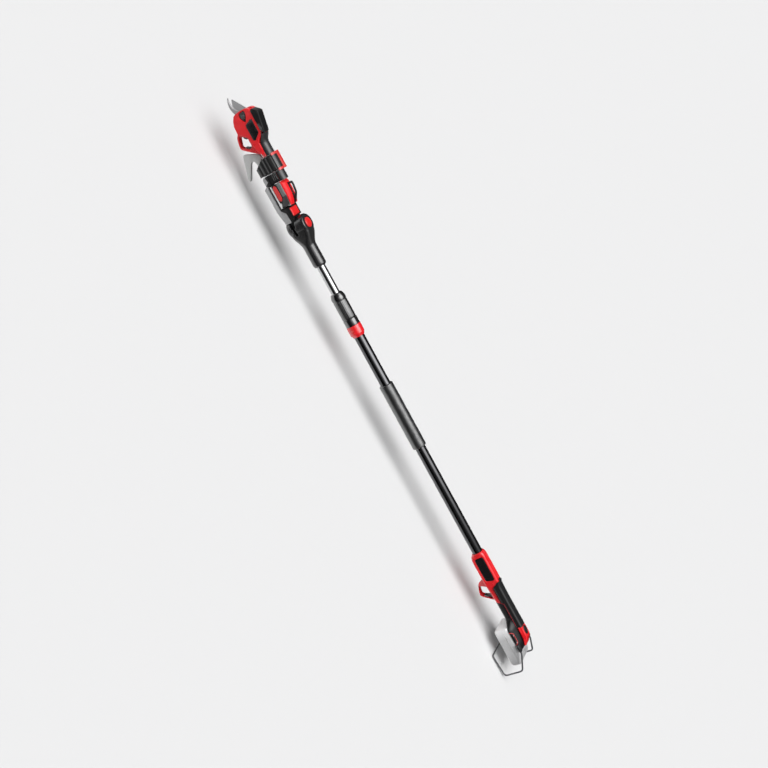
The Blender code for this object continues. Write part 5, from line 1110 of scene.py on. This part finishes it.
    # battery foot
    def foot_ring(x, w_low, w_mid, w_top, z0, z1, z2):
        right_side = [(w_low - 0.8, z0), (w_low, z0 + 0.8), (w_low + 0.0, (z0 + z1) / 2), (w_low, z1 - 1.2), (w_low - 1.4, z1 + 0.5)]
        mid = [((w_low * 0.55 + w_mid * 0.45), z1 + (z2 - z1) * 0.22), (w_mid, (z1 + z2) / 2), ((w_mid * 0.45 + w_top * 0.55), z1 + (z2 - z1) * 0.76), (w_top + 1.5, z2 - 0.35), (w_top - 0.6, z2)]
        half = right_side + mid
        return [(x, y, z) for y, z in half] + [(x, -y, z) for y, z in reversed(half)]

    st = [(768.4, 19.4, 19.2, 16.4, -15.2, -8.0, 4.6), (775, 24.6, 22.0, 16.6, -15.2, -8.8, 4.5), (784, 32.0, 25.5, 17.0, -15.2, -9.5, 4.4), (791, 37.2, 29.0, 17.6, -15.2, -9.9, 4.2), (797, 39.4, 31.0, 18.0, -15.2, -10.0, 4.0), (806, 39.6, 31.2, 18.0, -15.2, -10.0, 3.5), (836, 39.6, 31.3, 18.0, -15.2, -10.0, 1.9), (846, 39.6, 31.5, 18.0, -15.2, -10.0, 0.8), (858, 39.4, 31.5, 17.5, -15.2, -10.2, -2.8), (863.5, 38.6, 31.5, 16.8, -15.2, -10.2, -4.8), (866, 37.4, 31.0, 16.0, -15.0, -10.2, -6.2)]
    foot = loft("battery_foot_skin", [foot_ring(*row) for row in between(st, 3.0)])
    combine(foot, box("terminal_way", 803, 852, -17, 17, -30, -3.0))
    for side in (-1, 1):
        combine(foot, slab("inlay_seat", smooth_outline([(804, -17), (804, -14.6), (806, -9.4), (812, -6.6), (838, -6.6), (843, -9.4), (845, -14.6), (845, -17)], 5, keep=(0, 7)), side * 37.2, side * 60.0))
        boss = loft("boss", [rounded(x, w, w, -11.8, -3.4, 3.4, 6) for x, w in ((843, 6.0), (849, 7.6), (863.6, 7.2), (864.6, 6.4))])
        boss.data.transform(Matrix.Translation((0, side * 41.2 * MM, 0)))
        combine(foot, boss, "UNION")
        combine(foot, turned("leg_hole", [(850, 0), (850, 2.7), (880, 2.7), (880, 0)], 32, centre=(side * 44.4, -7.4)))
    done(tidy(foot, 2e-6, 0.25), "battery_foot", "battery_foot_black", smooth=42)
    # side inset: a dark plate under an arched strip, with two small pale pins
    plate_shape = smooth_outline([(805.4, -14.9), (807.2, -10.4), (812.8, -7.8), (837.2, -7.8), (841.4, -10.4), (843.4, -14.9)], 6, keep=(0, 5))
    for side, tag in ((-1, "left"), (1, "right")):
        path = [(801.5, side * 39.9, -14.5), (803.5, side * 39.6, -10.5), (808.5, side * 34.6, -6.2), (838, side * 34.6, -6.2), (843, side * 39.0, -10.4), (845, side * 39.9, -14.5)]
        done(sweep("foot_inlay_%s_skin" % tag, fillet(path, 4.0, 6), 1.15, 12), "foot_inlay_" + tag, "foot_inlay_red", smooth=60)
        plate_in = slab("foot_plate_" + tag, plate_shape, side * 36.8, side * 39.0)
        bevel(plate_in, 0.25, 2)
        done(plate_in, "foot_inlay_" + tag, "battery_foot_black", replace=False)
        for i, x in enumerate((814.0, 837.0)):
            pin = turned_on("foot_pin_%s_%d" % (tag, i + 1), arc_profile([(-1.2, 0), (-1.2, 1.2), (1.2, 1.2), (1.2, 0)], 0.5, 3), (x, side * 37.4, -8.0), "Y", 20)
            done(pin, "foot_inlay_" + tag, "foot_grey", mat="strip_grey", replace=False)

    # red rear cap with the oval panel, and the button
    rows = between([(801.2, 18.6, 15.1, 4.8, 15.9, 4.2), (802.2, 19.0, 15.5, 4.4, 16.5, 4.5), (812, 19.0, 15.5, 3.9, 16.6, 4.6), (830, 19.0, 15.5, 2.8, 16.8, 4.8), (838, 19.0, 15.5, 2.4, 16.5, 4.8), (843, 18.7, 15.2, 1.9, 15.0, 4.4), (848, 18.2, 14.8, 1.2, 12.6, 3.8), (856, 17.5, 14.1, -1.2, 7.6, 3.0), (863.2, 16.8, 13.6, -3.6, 2.6, 2.2), (864.5, 16.2, 13.0, -3.8, 1.2, 1.6)], 2.2)
    cap = loft("foot_cap_skin", [rounded(x, w0, w1, z0, z1, r, 8) for x, w0, w1, z0, z1, r in rows])
    combine(cap, slab("front_lean", [(790, -10), (801.3, -10), (801.3, 0.8), (808.0, 18.7), (808.2, 30), (790, 30)], -40, 40))
    combine(cap, plate("panel_way", [(823 + 14.0 * math.cos(2 * math.pi * i / 72), 10.6 * math.sin(2 * math.pi * i / 72)) for i in range(72)], 12.0, 40.0))
    done(tidy(cap, 2e-6, 0.2), "foot_cap", "foot_cap_red", smooth=45)

    def oval(k, z):
        return [(823 + 13.5 * k * math.cos(2 * math.pi * i / 72), 10.1 * k * math.sin(2 * math.pi * i / 72), z) for i in range(72)]
    button = loft("power_button_skin", [oval(1.0, 14.0), oval(1.0, 16.3), oval(0.985, 16.9), oval(0.95, 17.25), oval(0.90, 17.4), oval(0.80, 17.35), oval(0.76, 17.1), oval(0.72, 16.9), oval(0.45, 16.75), oval(0.15, 16.7)])
    done(button, "power_button", "button_black", smooth=60)

    # triggers and lock-off slider
    trig = [(686.6, -12.6), (697.5, -12.6), (696.8, -20), (693.2, -29.2), (688.6, -38.6), (685.0, -44.8), (681.6, -44.4), (685.2, -37), (687.0, -28), (686.4, -19.5)]
    done(pillow("rear_trigger_skin", even(smooth_outline(trig, 5, cut=0.2), 1.5), -5.8, 5.8, 1.0, 3), "rear_trigger", "rear_trigger_black", smooth=50)
    lock = pillow("lock_off_button_skin", even(smooth_outline([(648.4, 20.4), (649.6, 22.6), (653.6, 23.0), (655.8, 21.6), (655.8, 20.4)], 5, keep=(0, 4)), 1.0), -6.0, 6.0, 0.5, 3)
    done(lock, "lock_off_button", "lock_black")

    # battery pack: upper band set back a little, a step line and rounded lower corners
    st = [(787.0, 36.5, 37.2, -55.6, -17.6, 6.5), (788.4, 38.4, 39.2, -58.0, -16.2, 7.5), (791, 39.7, 40.3, -59.6, -15.6, 8.4), (796, 40.4, 41.0, -60.2, -15.6, 9), (868, 40.4, 41.0, -60.2, -15.6, 9),
          (880, 40.4, 41.0, -60.2, -19.6, 9), (893, 40.4, 41.0, -60.2, -24.5, 9), (899, 40.0, 40.6, -59.4, -26.2, 8.6), (903, 38.8, 39.4, -57.4, -27.8, 7.5), (905, 36.6, 37.2, -54.4, -29.6, 6.0)]
    pack = loft("battery_pack_skin", [rounded(x, w0, w1, z0, z1, r, 9) for x, w0, w1, z0, z1, r in between(st, 3.0)])
    combine(pack, box("terminal_slots", 780, 800, -10, 10, -22.0, -10.0))
    combine(pack, slab("button_way", [(880, -10), (888.4, -31.0), (910, -37.0), (915, -10)], -13.4, 13.4))
    for side in (-1, 1):
        combine(pack, loft("step", [[(x, side * w, z) for w, z in ((39.9, -14.0), (39.9, -32.0), (60.0, -35.4), (60.0, -14.0))] for x in (780, 915)]))
        combine(pack, box("step_line", 780, 915, side * 39.0 if side > 0 else -60, 60 if side > 0 else -39.0, -32.6, -31.8))
        combine(pack, slab("label_bay", smooth_outline([(806, -38.5), (886, -38.5), (886, -54.5), (806, -54.5)], 6, cut=0.12), side * 40.35, side * 60))
    combine(pack, box("rear_line", 900, 915, -60, 60, -42.4, -41.8))
    done(tidy(pack, 2e-6, 0.2), "battery_pack", "pack_grey", smooth=35)
    refine("pack_button", "pack_button_grey", 0.4, 3)

    # wire stand
    side_path = [(851, 44.4, -7.4), (870, 44.4, -7.4), (919, 54.2, -26.8), (919.6, 54.2, -86), (849, 54.2, -90.5)]
    path = [(x, -y, z) for x, y, z in side_path] + [(x, y, z) for x, y, z in reversed(side_path)]
    done(sweep("wire_stand_skin", fillet(path, 9.0, 8), 2.4, 20), "wire_stand", "stand_steel", smooth=50)


def sweep(name, path, r, sides=16):
    pts = [Vector(p) for p in path]
    rings = []
    prev = None
    for i, p in enumerate(pts):
        t = (pts[min(i + 1, len(pts) - 1)] - pts[max(i - 1, 0)]).normalized()
        if prev is None:
            u = t.cross(Vector((0, 0, 1))).normalized()
        else:
            u = (prev - t * prev.dot(t)).normalized()
        prev = u
        w = t.cross(u)
        rings.append([tuple(p + (u * math.cos(2 * math.pi * k / sides) + w * math.sin(2 * math.pi * k / sides)) * r) for k in range(sides)])
    return loft(name, rings)


def fillet(points, radius, n=8):
    pts = [Vector(p) for p in points]
    out = [tuple(pts[0])]
    for i in range(1, len(pts) - 1):
        a, p, b = pts[i - 1], pts[i], pts[i + 1]
        ra = min(radius, (a - p).length * 0.45, (b - p).length * 0.45)
        p0, p2 = p + (a - p).normalized() * ra, p + (b - p).normalized() * ra
        for k in range(n + 1):
            t = k / n
            out.append(tuple(p0 * (1 - t) ** 2 + p * 2 * t * (1 - t) + p2 * t * t))
    out.append(tuple(pts[-1]))
    return out


make_pole()
make_joint()
make_bracket()
make_shear()
make_rear()

# pieces inside the housings keep their solids and get their finish
INNER = {"coiled_lead": "lead_black", "drive_pinion": "gear_steel", "shears_gearbox": "gearbox_grey", "shears_motor": "motor_steel", "shears_switch": "switch_black",
         "rear_switch": "switch_black", "terminal_block": "terminal_grey"}
for node, ob in frame["nodes"].items():
    if node in DONE:
        continue
    mat = M[INNER[node]]
    ob.data.materials.clear()
    ob.data.materials.append(mat)

bpy.context.view_layer.update()
